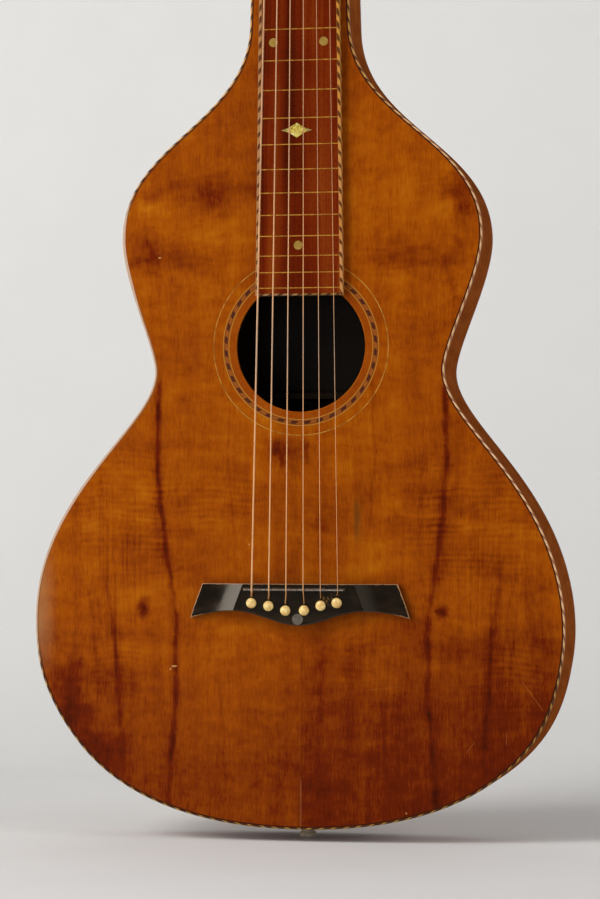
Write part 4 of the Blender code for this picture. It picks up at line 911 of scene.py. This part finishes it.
keyholes = [keyhole(*spot) for spot in PIN_SPOTS]
board_shape = plate([body_outline(2.25), circle(0, HOLE_Z, HOLE_RADIUS, 128)] + keyholes, 0.02, TOP_THICKNESS)
piece("soundboard_front", board_shape, front, ["soundboard"])
lip = hole_ring([(47.2, 2.8), (46.75, 2.4), (46.75, 0.5), (47.15, 0.0), (47.6, 0.0), (47.6, 2.8)], 128)
piece("soundhole_lip", lip, koa("lip_koa", 130.0, 0.05))
print("soundboard", len(board_shape.vertices), "corners")

# %% Back, sides and rope
back_shape = plate([body_outline(0.02)], 0, BACK_THICKNESS)
for corner in back_shape.vertices:
    corner.co.y += depth_at(corner.co.z) - BACK_THICKNESS
piece("back_plate", back_shape, koa_back, ["back"], round_edges=0.7)

SIDE = [(0, 3.0, None, 0.0), (0, None, 2.85, 60.0), (2.0, None, 2.85, 62.0), (2.0, 3.0, None, 64.0)]
ROPE = [(0, 3.0, None, -2.6), (0, 0.85, None, -0.45), (0.12, 0.46, None, 0.0), (0.35, 0.22, None, 0.35),
        (0.75, 0.08, None, 0.75), (1.3, 0.01, None, 1.3), (2.25, 0.0, None, 2.3), (2.3, 3.0, None, 5.0)]
bore = moved(turned([(4.35, -190), (4.35, -150)], 32), shift(0, END_PIN_Y, 0))
for sign, hand in HANDS:
    wall = edge_strip(SIDE, sign)
    for corner, place in zip(wall.vertices, wall.attributes["lay"].data):
        place.vector = (place.vector[0], corner.co.y, 0)
    piece(f"side_wall_{hand}", cut(wall, bore), side_koa, [f"side_{hand}"], smooth=50)
    piece(f"body_rope_{hand}", edge_strip(ROPE, sign), body_rope, [f"rope_binding_{hand}"], smooth=50)
print("back, two sides and two ropes")

# %% [markdown]
# ## Rosette
# A ring of rope lies round the soundhole, and a thin pale line round that. Both are let into the soundboard, so
# they stand no prouder than a coat of lacquer.

# %% Rosette rings
rosette = hole_ring([(52.0, 1.2), (52.0, 0.0), (57.0, 0.0), (57.0, 1.2)])
piece("rosette_rope", rosette, ring_rope, ["rosette_rope_ring"])
outer_line = hole_ring([(63.2, 0.5), (63.2, 0.0), (63.9, 0.0), (63.9, 0.5)])
piece("rosette_line", outer_line, thin_line)
print("rope ring 52 to 57 mm, line at 63.5 mm")

# %% [markdown]
# ## Fingerboard
# This board is never pressed: the player slides a steel bar over the strings, so the frets are only flush strips
# that show where the notes are. Each stands a twelfth root of two closer to the saddle than the last. Rope runs
# along both edges and across the end that hangs over the soundhole.

# %% Board and rope
BOARD_LOW = 209.5
BOARD_TOP = 634.7
BOARD_WOOD_LOW = 210.9
BOARD_FRONT = -5.5
BOARD_REAR = -0.3
INLAY_REAR = -4.9
BOARD_STEPS = 40
BOARD_ROPE = [(0, BOARD_REAR, -5.3), (0, -5.2, -0.15), (0.12, -5.42, 0.15), (0.4, BOARD_FRONT, 0.4),
              (2.3, BOARD_FRONT, 2.3), (2.3, BOARD_REAR, 7.0)]
END_ROPE = [(BOARD_REAR, BOARD_LOW, 5.2), (-5.3, BOARD_LOW, 0.1), (BOARD_FRONT, 209.7, 0.0),
            (BOARD_FRONT, BOARD_WOOD_LOW, -1.2), (BOARD_REAR, BOARD_WOOD_LOW, -6.0)]


def half_width(z):
    return 31.8 - BOARD_TAPER * (z - BOARD_LOW)


low, high = half_width(BOARD_WOOD_LOW) - 2.25, half_width(BOARD_TOP) - 2.25
board = [(-low, BOARD_WOOD_LOW), (low, BOARD_WOOD_LOW), (high, BOARD_TOP), (-high, BOARD_TOP)]
piece("fingerboard_wood", plate([board], BOARD_FRONT + 0.03, BOARD_REAR), board_wood, ["fingerboard"])
for sign, hand in HANDS:
    rings, lay = [], []
    for index in range(BOARD_STEPS + 1):
        z_here = BOARD_LOW + (BOARD_TOP - BOARD_LOW) * index / BOARD_STEPS
        rings.append([(sign * (half_width(z_here) - distance), y_here, z_here) for distance, y_here, _ in BOARD_ROPE])
        lay += [(z_here + (0 if sign > 0 else BASS_SHIFT), across) for *_, across in BOARD_ROPE]
    piece(f"board_rope_{hand}", strip(rings, lay), board_rope, [f"fingerboard_binding_{hand}"], smooth=50)
reach = half_width(210) - 2.3
rings = [[(across, y_here, z_here) for y_here, z_here, _ in END_ROPE] for across in (-reach, reach)]
lay = [(across, down) for across in (-reach, reach) for *_, down in END_ROPE]
piece("board_end_rope", strip(rings, lay), end_rope)
print("board and three strips of rope")

# %% Frets and position marks
HIGH_BY = {18: 1.5, 19: 3.0}
MARKS = [(-18.7, 390.6), (17.8, 390.6), (-0.7, 245.3), (0, 436.4), (0, 489.9)]
DIAMOND = [(-11.6, 0), (-6.0, 1.6), (0, 5.3), (6.0, 1.6), (11.6, 0), (6.0, -1.6), (0, -5.3), (-6.0, -1.6)]
DIAMOND_Z = 327.5


def let_in(loop):
    return plate([loop], BOARD_FRONT, INLAY_REAR)


frets = []
for number in range(1, 20):
    z_here = SCALE_LENGTH * 2 ** (-number / 12) + HIGH_BY.get(number, 0)
    wide = half_width(z_here) - 2.35
    frets.append(let_in(oblong(-wide, z_here - 0.35, wide, z_here + 0.35)))
piece("fret_strips", gathered(frets), fret_brass)
piece("mark_dots", gathered([let_in(circle(*mark, 3.2, 40)) for mark in MARKS]), dull_pearl)
points = [(DIAMOND_X + across * (0.97 if across > 0 else 1), DIAMOND_Z + up) for across, up in DIAMOND]
piece("mark_diamond", let_in(points), pearl)
print(len(frets), "flush frets,", len(MARKS), "dots and a diamond")

# %% [markdown]
# ## Bridge
# The bridge is a block with two wings that are scooped down outwards and end in slanted tips, and its lower edge
# is drawn to a point under the pins. Here its top is a fine grid between the upper and lower edges: each grid
# point's height comes from its distance to the block, and falls off in the last half millimetre at the rim. Both
# distances go into the lay: the one to the rim for the worn lacquer, the one to the block for a painted sheen on the
# wings.

# %% Bridge outline and heights
# SCOOP lists how far past the block a point lies, and how far the top has fallen there.
BRIDGE_FRONT = -10
BRIDGE_REAR = -0.3
UPPER_Z = 4.2
CORNER_X = 71.0
BLOCK_HALF = 40
ROUNDING = 0.4
ROWS = 26
END = run((CORNER_X, UPPER_Z), ((73.6, -3.5), (77.8, -13), (79.6, -20.5), 24))
LOWER = run((79.6, -20.5), ((69, -17.4), (60, -15.6), (49, -15.3), 24), ((30, -14.8), (17, -25.4), (0, -25.5), 40))
SCOOP = run((0, 0), ((6, 2.6), (15, 4.9), (28, 5.4), 24)) + [(60, 6.0)]
OUTLINE = [(0, UPPER_Z)] + END + LOWER[1:]
COLUMNS = sorted({round(-79.55 + 159.1 * step / 170, 3) for step in range(171)} | {79.58, -79.58})


def on_line(points, value, key, other):
    """Reads a line of points at a value of one coordinate."""
    for first, second in zip(points, points[1:]):
        low, high = sorted((first[key], second[key]))
        if low <= value <= high and high > low:
            share = (value - first[key]) / (second[key] - first[key])
            return first[other] + share * (second[other] - first[other])
    return points[-1][other] if abs(value - points[-1][key]) < abs(value - points[0][key]) else points[0][other]


def rim_distance(x, z):
    """Distance from a point to the bridge's outline."""
    distances = []
    here = Vector((x, z))
    for first, second in zip(OUTLINE, OUTLINE[1:]):
        a, b = Vector(first), Vector(second)
        share = max(0, min(1, (here - a).dot(b - a) / (b - a).length_squared))
        distances.append((here - a - share * (b - a)).length)
    return min(distances)


top, top_lay = [], []
for across in COLUMNS:
    wide = abs(across)
    low = on_line(LOWER, wide, 0, 1)
    high = UPPER_Z if wide <= CORNER_X else on_line(END, wide, 0, 1)
    for row in range(ROWS + 1):
        z_here = high + (low - high) * (0.5 - 0.5 * math.cos(math.pi * row / ROWS))
        past_block = max(0.0, wide - BLOCK_HALF - 0.38 * (UPPER_Z - z_here))
        rim = rim_distance(wide, z_here)
        fall = ROUNDING * (1 - math.sqrt(max(0, 1 - (1 - min(1, rim / ROUNDING)) ** 2)))
        top.append((across, BRIDGE_FRONT + on_line(SCOOP, past_block, 0, 1) + fall, z_here))
        top_lay.append((rim, past_block))
print("bridge top:", len(COLUMNS), "by", ROWS + 1, "grid")

# %% Bridge solid, saddle and dot
count, base, last = ROWS + 1, len(top), len(COLUMNS) - 1
faces = []
for column in range(last):
    for row in range(ROWS):
        a, b = column * count + row, (column + 1) * count + row
        faces += [(a, b, b + 1, a + 1), (base + a, base + a + 1, base + b + 1, base + b)]
    a, b = column * count, (column + 1) * count
    faces += [(a, base + a, base + b, b), (a + ROWS, b + ROWS, base + b + ROWS, base + a + ROWS)]
for column in (0, last):
    for a in range(column * count, column * count + ROWS):
        faces.append((a, a + 1, base + a + 1, base + a) if column == 0 else (a, base + a, base + a + 1, a + 1))
bridge_shape = mesh_from(top + [(x, BRIDGE_REAR, z) for x, _, z in top], faces,
                         top_lay + [(3.0, past_block) for _, past_block in top_lay])
bridge_shape = cut(bridge_shape, plate([oblong(-39.9, -0.95, 34.3, 0.95)], -20, -6.9))
bridge_shape = cut(bridge_shape, gathered([plate([loop], -20, 2) for loop in keyholes]))
piece("bridge_block", bridge_shape, lacquer, ["bridge"], smooth=38)

rod_rings = []
for across in [-38.35, -38.2] + [-38.0 + 71.6 * step / 60 for step in range(61)] + [33.8, 33.95]:
    trim = 0.45 if across in (-38.35, 33.95) else 0.0
    dent = 0.05 * math.sin(across * 2.1) * math.sin(across * 0.83)
    section = [(-7.3, -0.6), (-15.55 + trim, -0.62 + dent * 0.3), (-15.95 + trim, -0.42),
               (-16.18 + trim + abs(dent), 0.0), (-15.95 + trim, 0.42), (-15.55 + trim, 0.62), (-7.3, 0.6)]
    rod_rings.append([(across, y_at, z_at) for y_at, z_at in section])
piece("saddle_rod", strip(rod_rings), saddle_steel, ["saddle"], smooth=60)

dot = turned([(4.1, 0.0), (4.1, -0.03), (3.9, -0.08), (0.0, -0.1)], 48)
dot.transform(shift(-0.3, -9.93, -21.0) @ Z_TO_FRONT @ Matrix.Scale(-1, 4, (0, 0, 1)))
piece("bridge_dot", dot, grey_dot)
print("bridge", len(bridge_shape.vertices), "corners, its saddle and dot")

# %% [markdown]
# ## Bridge pins
# Each pin is turned in one go: a domed head, a thin neck and a tapered shank that wedges the ball of the string
# under the bridge. Profiles are lists of radius and height, spun round.

# %% Pins
dome = [(3.7 * math.sin(angle), 1.35 + 2.5 * math.cos(angle)) for angle in map(math.radians, range(0, 91, 9))]
pin = turned(dome + [(3.68, 1.1), (3.45, 0.62), (2.95, 0.36), (2.72, 0.3), (2.66, -0.4), (2.25, -18), (1.9, -18.8),
                     (1.2, -19), (0, -19)])
for number, (across, height) in enumerate(PIN_SPOTS, 1):
    pin_shape = moved(pin, shift(across, BRIDGE_FRONT, height) @ Z_TO_FRONT)
    piece(f"pin_{number}", pin_shape, pin_ivory, [f"bridge_pin_{number}"], f"pin_{number}", smooth=50)
print("six pins,", len(pin.vertices), "corners each")

# %% [markdown]
# ## Strings
# A string runs from its ball under the bridge, up past its pin, over the saddle and the tall nut, and twice round
# its post. It is a curve with a round section. The low three are wound, and their finish has the coils.

# %% Strings
RADII = [0.20, 0.24, 0.33, 0.42, 0.52, 0.65]
POST_HEIGHTS = [46, 84, 122]
POST_X = 21.5
BALL_RADIUS = 1.7
SADDLE_CREST = -16.5
NUT_CREST = -14.4
# Up the pin a string's points are (y, rise), and over the saddle they are (drop from the crest, z).
UP_THE_PIN = [(9.3, 0), (6.7, 0), (6.4, 0), (-9.9, 0), (-10.6, 0.1), (-11.1, 0.4)]
OVER_THE_SADDLE = [(0.75, -1.7), (0.3, -1.2), (0.1, -0.8), (0, -0.2), (0, 0.3)]
NUT_PITCH = 8.0
SADDLE_PITCH = 12.4
TURNS_ROUND = 2
TURN_STEPS = 48


def at_nut(index):
    return 1.0 + NUT_PITCH * (2.5 - index)


def at_saddle(index):
    return -1.0 + SADDLE_PITCH * (2.5 - index)


def post_of(index):
    """A string's side of the head and the height of its post."""
    return (1, POST_HEIGHTS[index]) if index < 3 else (-1, POST_HEIGHTS[5 - index])


def winding(index):
    """The turns round a post, in the head's frame, from the nut's side."""
    radius = RADII[index]
    sign, z_post = post_of(index)
    reach, pitch = 3.3 + radius, 2 * radius + 0.5
    points = []
    for step in range(TURNS_ROUND * TURN_STEPS + 1):
        across, up = at_angle(reach, math.pi - 2 * math.pi * step / TURN_STEPS)
        points.append(Vector((sign * (POST_X + across), -9.5 + pitch * step / TURN_STEPS, z_post + up)))
    return points + [points[-1] + Vector((0, 0, 2 * radius))]


for index, radius in enumerate(RADII):
    pin_x, pin_z = PIN_SPOTS[index]
    crest = SADDLE_CREST - radius - 0.3
    points = [(pin_x, y_at, pin_z + 4.75 + up) for y_at, up in UP_THE_PIN]
    points += [(at_saddle(index), crest + down, z_at) for down, z_at in OVER_THE_SADDLE]
    points += [(at_nut(index), NUT_CREST, z_at) for z_at in (635.3, 636.8)]
    points += [HEAD @ point for point in winding(index)]
    curve = bpy.data.curves.new("string", "CURVE")
    curve.dimensions = "3D"
    curve.bevel_depth = radius
    curve.bevel_resolution = 3
    curve.use_fill_caps = True
    line = curve.splines.new("POLY")
    line.points.add(len(points) - 1)
    for knot, point in zip(line.points, points):
        knot.co = (*point, 1)
    for knot in line.points[:2]:
        knot.radius = BALL_RADIUS / radius
    finish, slot = (plain_wire, "steel") if index < 3 else (wound_wire, "bronze")
    piece(f"string_wire_{index + 1}", finished(placed(curve)), finish, [f"string_{index + 1}"], smooth=60)
print("six strings")

# %% [markdown]
# ## Nut and head
# The nut of a lap guitar is tall, to lift the strings well clear of the board. Behind it the hollow neck closes
# into a solid head that leans back twelve degrees. The head's front and side shapes are two flat outlines, and
# their overlap is the head: an easy way to get a shape that a bandsaw would cut in two passes.

# %% Nut
nut_side = [(-0.3, 635), (-14.5, 635), (-14.85, 635.25), (-14.9, 636.3), (-14.6, 636.9), (-11.5, 640.1),
            (-10.9, 640.4), (-0.3, 640.4)]
nut_shape = plate([nut_side], -26.58, 26.58, "X")
notches = []
for index, radius in enumerate(RADII):
    middle, half = at_nut(index), radius + 0.22
    notches.append(plate([oblong(middle - half, 633, middle + half, 643)], -30, NUT_CREST + radius + 0.2))
piece("nut_bar", cut(nut_shape, gathered(notches)), nut_bone, ["nut"], smooth=40)
print("nut with", len(notches), "notches")

# %% Head
end_front, end_rear, rear_low, handle = ((HEAD @ Vector((0, y_at, up))).yz
                                         for y_at, up in ((0, 171), (15, 171), (15, 27), (15, 14)))
heel = run((NUT_DEPTH, HEAD_Z), ((NUT_DEPTH, HEAD_Z + 13), handle, rear_low, 24))
side_cut = plate([[(0, HEAD_Z)] + heel + [end_rear, end_front]], -45, 45, "X")
half = [(30.0, -25), (30.0, 0)] + run(
    (30.0, 1), ((29.4, 8), (29.2, 14), (32.2, 24), 14), ((34.6, 32), (33.2, 60), (33.0, 88), 18),
    ((32.9, 116), (36.5, 136), (38.0, 150), 18), ((36.0, 160), (22, 158), (14, 160), 18),
    ((9, 161.5), (6, 166), (0, 166), 14))
front_cut = moved(plate([both_halves(half)], -30, 60), HEAD)
head_shape = cut(side_cut, front_cut, "INTERSECT")
drill = turned([(3.42, -40), (3.42, 40)])
holes = [moved(drill, HEAD @ shift(sign * POST_X, 0, z_post) @ Z_TO_FRONT)
         for sign, _ in HANDS for z_post in POST_HEIGHTS]
head_shape = cut(head_shape, gathered(holes))
piece("head_block", head_shape, koa_head, ["headstock"], round_edges=0.8, smooth=40)
print("head", len(head_shape.vertices), "corners")

# %% [markdown]
# ## Tuners
# Each string's post carries a gear of sixteen teeth behind the head, and a worm on the button's shaft turns it:
# one turn of the button moves the gear by one tooth, so the string is tuned finely and its pull can't unwind it.
# The strip that holds three of them has two bearing lugs for each shaft. The bass side is the treble side's
# mirror image, thread and all.

# %% Strips and screws
AXLE_Y = 20.6
GEAR_RADIUS = 6.4
WORM_RADIUS = 2.9
WORM_PITCH = math.pi * 0.8
WORM_DROP = GEAR_RADIUS + WORM_RADIUS
STRIP_FRONT = 15.3
STRIP_REAR = 16.5
LUG_RADIUS = 3.2
SIDES = {1: HEAD, -1: HEAD @ Matrix.Scale(-1, 4, (1, 0, 0))}
SCREW_SPOTS = [(17.5, 54.5), (17.5, 92.5), (17.5, 130.5), (21.5, 32)]

low_end = [(12.5, 32.5), (13.8, 30.6), (15.4, 29.1), (17.6, 28.2), (21.5, 28), (25.4, 28.2), (27.6, 29.1),
           (29.2, 30.6), (30.5, 32.5)]
high_end = [(x_at, 165 - z_at) for x_at, z_at in reversed(low_end)]
openings = [circle(POST_X, z_post, 3.45, 32) for z_post in POST_HEIGHTS]
strip_shape = plate([low_end + high_end] + openings, STRIP_FRONT, STRIP_REAR)
lugs = []
for z_post in POST_HEIGHTS:
    z_axle = z_post - WORM_DROP
    arch = [(AXLE_Y + LUG_RADIUS * math.sin(angle), z_axle - LUG_RADIUS * math.cos(angle))
            for angle in map(math.radians, range(0, 181, 12))]
    loop = [(15.9, z_axle - LUG_RADIUS)] + arch + [(15.9, z_axle + LUG_RADIUS)]
    lugs += [plate([loop, circle(AXLE_Y, z_axle, 2.05, 32)], start, start + 1.6, "X") for start in (27.7, 13.7)]
strip_shape = cut(strip_shape, gathered(lugs), "UNION")
screw = turned([(0, 1.15), (1.2, 0.95), (1.9, 0.45), (2.05, 0.05), (1.2, 0.0), (1.1, -2.0), (0, -2.2)], 24)
screw = cut(screw, plate([oblong(-2.5, -0.22, 2.5, 0.22)], 0.6, 2, "Z"))
for sign, hand in HANDS:
    side = SIDES[sign]
    piece(f"strip_{hand}", moved(strip_shape, side), nickel, [f"tuner_strip_{hand}"], round_edges=0.25,
          smooth=40)
    screws = [moved(screw, side @ shift(x_at, STRIP_REAR, z_at) @ Matrix.Rotation(-math.pi / 2, 4, "X")
                    @ Matrix.Rotation(math.radians(37 * index), 4, "Z"))
              for index, (x_at, z_at) in enumerate(SCREW_SPOTS)]
    piece(f"strip_screws_{hand}", gathered(screws), nickel, smooth=40)
print("two strips, eight screws")

# %% Posts with their gears
TEETH = 16
TOOTH = [(-0.85, -1), (0.0, -1), (0.45, -1), (0.6, -0.72), (0.6, 0.72), (0.45, 1), (0.0, 1), (-0.85, 1)]
TOOTH_HALF = 0.46
PRESSURE_ANGLE = math.radians(20)


def gear_shape():
    """A wheel with slanted teeth about Z, a gap facing -Y. A tooth is (rise over the pitch circle, side) points."""
    loop = []
    for tooth in range(TEETH):
        centre = -math.pi / 2 + (tooth + 0.5) * 2 * math.pi / TEETH
        for rise, side in TOOTH:
            angle = side * (TOOTH_HALF - rise * math.tan(PRESSURE_ANGLE)) / (GEAR_RADIUS + rise)
            loop.append(at_angle(GEAR_RADIUS + rise, centre + angle))
    wheel = plate([loop], -1.5, 1.5, "Z")
    lean = WORM_PITCH / (2 * math.pi * WORM_RADIUS) / GEAR_RADIUS
    for corner in wheel.vertices:
        corner.co = Matrix.Rotation(lean * corner.co.z, 3, "Z") @ corner.co
    wheel.transform(shift(0, 0, -AXLE_Y))
    return wheel


post_shape = turned([(0, 13), (2.2, 12.9), (2.75, 12.5), (3.0, 11.9), (3.0, 11.2), (2.75, 10.8), (2.7, 6.4), (3.0, 6.0),
                     (3.0, -16.8), (4.4, -16.8), (4.4, -18.6), (2.8, -18.6), (2.8, -22.4), (2.5, -23.1), (1.2, -23.4),
                     (0, -23.4)])
post_shape = cut(post_shape, gear_shape(), "UNION")
post_shape = cut(post_shape, moved(turned([(0.8, -6), (0.8, 6)], 20), shift(0, 0, 11.5) @ Z_TO_FRONT))
post_shape = cut(post_shape, plate([oblong(-4, -0.45, 4, 0.45)], -24, -22.9, "Z"))
print("post and gear", len(post_shape.vertices), "corners")

# %% Worms and buttons
WORM_STEPS = 40
KNOB_LOW = 16.5
KNOB_HEIGHT = 16.5


def worm_shape():
    """A screw thread along Z round a shaft, its crest facing -X in the middle and its ends run out."""
    rows = []
    for step in range(2 * WORM_STEPS + 1):
        turn = step / WORM_STEPS - 1
        fade = min(1.0, min(step, 2 * WORM_STEPS - step) / 8)
        rim = WORM_RADIUS + 0.6 * fade - 1.3 * (1 - fade)
        ridge = [(1.5, -0.77), (2.05, -0.77), (rim, -0.24), (rim, 0.24), (2.05, 0.77), (1.5, 0.77)]
        rows.append([(*at_angle(radius, math.pi + 2 * math.pi * turn), WORM_PITCH * turn + rise)
                     for radius, rise in ridge])
    return strip(rows)


shaft = turned([(0, 25.0), (1.5, 25.0), (1.7, 24.8), (1.7, 16.0), (1.7, 8.0), (1.9, 7.95), (1.9, 7.9), (1.7, 7.85),
                (1.7, 6.0), (2.05, 5.7), (2.05, 4.9), (2.1, 4.6), (2.1, -4.6), (2.05, -4.9), (2.05, -5.7), (1.7, -6.0),
                (1.7, -8.4), (1.4, -8.7), (0, -8.7)])
worm = cut(shaft, worm_shape(), "UNION")
knob = turned([(0, 33.0), (2.2, 32.8), (4.4, 32.3), (6.3, 31.2), (7.5, 29.7), (8.1, 27.9), (8.2, 26.2), (7.9, 24.4),
               (7.2, 22.4), (6.2, 20.6), (5.2, 19.2), (4.4, 18.2), (3.9, 17.4), (3.8, 16.8), (3.5, KNOB_LOW),
               (0, KNOB_LOW)], 48)
for corner in knob.vertices:
    corner.co.y *= 1 - 0.5 * min(1, max(0, (corner.co.z - KNOB_LOW) / KNOB_HEIGHT) * 2.5)
for index in range(6):
    number = index + 1
    sign, z_post = post_of(index)
    stand = SIDES[sign] @ shift(POST_X, 0, z_post) @ Z_TO_FRONT
    axle = SIDES[sign] @ shift(POST_X, AXLE_Y, z_post - WORM_DROP) @ Matrix.Rotation(math.pi / 2, 4, "Y")
    for name, shape, place, finish, slot, node, body, smooth in (
            ("post_gear", post_shape, stand, nickel, "nickel", "tuner_post", "post", 35),
            ("worm_shaft", worm, axle, nickel, "nickel", "tuner_worm", "worm", 40),
            ("button", knob, axle, button_ivory, "ivory", "tuner_button", "worm", 60)):
        piece(f"{name}_{number}", moved(shape, place), finish, [f"{node}_{number}"], f"{body}_{number}",
              smooth=smooth)
print("six tuners,", len(worm.vertices), "corners a worm")

# %% [markdown]
# ## End pin and the inside
# The end pin is a small turned button in the tail. What lies inside the body keeps its plain shape, because it is
# only glimpsed through the soundhole, and gets bare wood with the grain along each bar, painted dark as shade.

# %% End pin and inside
end_pin = turned([(0, 8.6), (1.4, 8.58), (3.2, 8.35), (4.8, 7.8), (5.8, 7.0), (6.18, 6.1), (6.1, 5.2), (5.6, 4.4),
                  (5.0, 3.7), (4.85, 3.0), (4.85, 0.3), (4.0, 0.3), (3.5, -16), (0, -16)], 48)
end_pin = moved(end_pin, shift(0, END_PIN_Y, TAIL_Z) @ Matrix.Rotation(math.pi, 4, "X"))
piece("end_button", end_pin, end_ivory, ["end_pin"], smooth=50)
inside = {spruce: ["x_brace_treble", "x_brace_bass", "upper_brace", "tone_bar", "back_brace_lower",
                   "back_brace_waist", "back_brace_upper"],
          mahogany: ["tail_block", "top_lining_bass", "top_lining_treble", "back_lining_bass", "back_lining_treble"],
          maple: ["bridge_plate"]}
for finish, names in inside.items():
    for name in names:
        for material_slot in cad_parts[name].material_slots:
            material_slot.material = finish.material
print("inside:", sum(len(names) for names in inside.values()), "pieces of bare wood")

# %% [markdown]
# ## Stage, lamps and camera
# The guitar stands on its end pin, in front of a plain pale sheet that sweeps up behind it. The sheet is clear
# from its far side, so the guitar's back can be looked at too. A large soft lamp at the upper left models the
# front, two weaker ones fill in from the right and the left, and the world softens the shadows. The camera stands
# a little to the treble side, where the picture was taken from.

# %% Sheet
FLOOR_Z = -180.2
BEND_Y = 500
BEND_RADIUS = 700
SHEET_HALF = 3000
SHEET_NEAR_Y = -3200
SHEET_TOP_Z = 2600

pale = Finish("pale_sheet", Roughness=0.9, Specular_IOR_Level=0.1)
x, y, z = pale.place()
pale.paint(mix((0.76, 0.75, 0.73), (0.80, 0.79, 0.77), noise(x * 0.01, y * 0.01, z * 0.01, 2.0)))
bend = [(BEND_Y + BEND_RADIUS * math.sin(angle), FLOOR_Z + BEND_RADIUS - BEND_RADIUS * math.cos(angle))
        for angle in map(math.radians, range(6, 91, 6))]
line = [(SHEET_NEAR_Y, FLOOR_Z), (BEND_Y, FLOOR_Z)] + bend + [(BEND_Y + BEND_RADIUS, SHEET_TOP_Z)]
corners = [(across, y_at, z_at) for y_at, z_at in line for across in (-SHEET_HALF, SHEET_HALF)]
faces = [(2 * row, 2 * row + 1, 2 * row + 3, 2 * row + 2) for row in range(len(line) - 1)]
sheet_mesh = mesh_from(corners, faces)
sheet_mesh.transform(TO_FRAME)
sheet_mesh.materials.append(pale.material)
sheet_mesh.shade_smooth()
if sheet_mesh.polygons[0].normal.z < 0:
    sheet_mesh.flip_normals()
from_behind = pale.node("ShaderNodeNewGeometry", output="Backfacing")
clear = pale.node("ShaderNodeBsdfTransparent")
one_sided = pale.node("ShaderNodeMixShader", inputs={0: from_behind, 1: Wire(pale, pale.shader.outputs[0]), 2: clear})
pale.link(one_sided, pale.tree.nodes["Material Output"].inputs["Surface"])
sheet = placed(sheet_mesh, "paper_sheet")
print("sheet", 2 * SHEET_HALF // 1000, "m wide")

# %% Lamps and world
def lamp(name, place, aim, size, power):
    light = bpy.data.lights.new(name, "AREA")
    light.shape = "SQUARE"
    light.size = size
    light.energy = power
    thing = placed(light, name)
    start, end = TO_FRAME @ Vector(place), TO_FRAME @ Vector(aim)
    thing.location = start
    thing.rotation_euler = (end - start).to_track_quat("-Z", "Y").to_euler()


lamp("upper_left", (-1500, -1500, 1500), (0, 0, 180), 1.2, 41)
lamp("right", (1900, -700, 500), (0, 0, 150), 1.0, 15)
lamp("left", (-1700, -1350, 350), (0, 0, 30), 1.1, 18.5)
world = bpy.data.worlds.new("studio")
bpy.context.scene.world = world
world.use_nodes = True
background = world.node_tree.nodes["Background"]
background.inputs[0].default_value = (0.98, 0.99, 1.0, 1)
background.inputs[1].default_value = 0.2
print("three lamps and a pale world")

# %% Camera
FOCAL_PIXELS = 3075.7
PICTURE_HEIGHT = 899
SENSOR = 36
CAMERA_PLACE = (428.5, -2152.3, 60.3)
YAW = math.radians(11.27)
PITCH = math.radians(1.03)

view = bpy.data.cameras.new("view")
view.lens = SENSOR * FOCAL_PIXELS / PICTURE_HEIGHT
view.sensor_width = SENSOR
view.clip_start = 0.05
view.clip_end = 50
camera = placed(view, "view")
ahead = Vector((-math.sin(YAW) * math.cos(PITCH), math.cos(YAW) * math.cos(PITCH), math.sin(PITCH)))
camera.location = TO_FRAME @ Vector(CAMERA_PLACE)
camera.rotation_euler = ahead.to_track_quat("-Z", "Y").to_euler()
bpy.context.scene.camera = camera
bpy.context.scene.view_settings.view_transform = "Standard"
print("lens", round(view.lens, 1), "mm")

# %% The last line
bpy.context.view_layer.update()
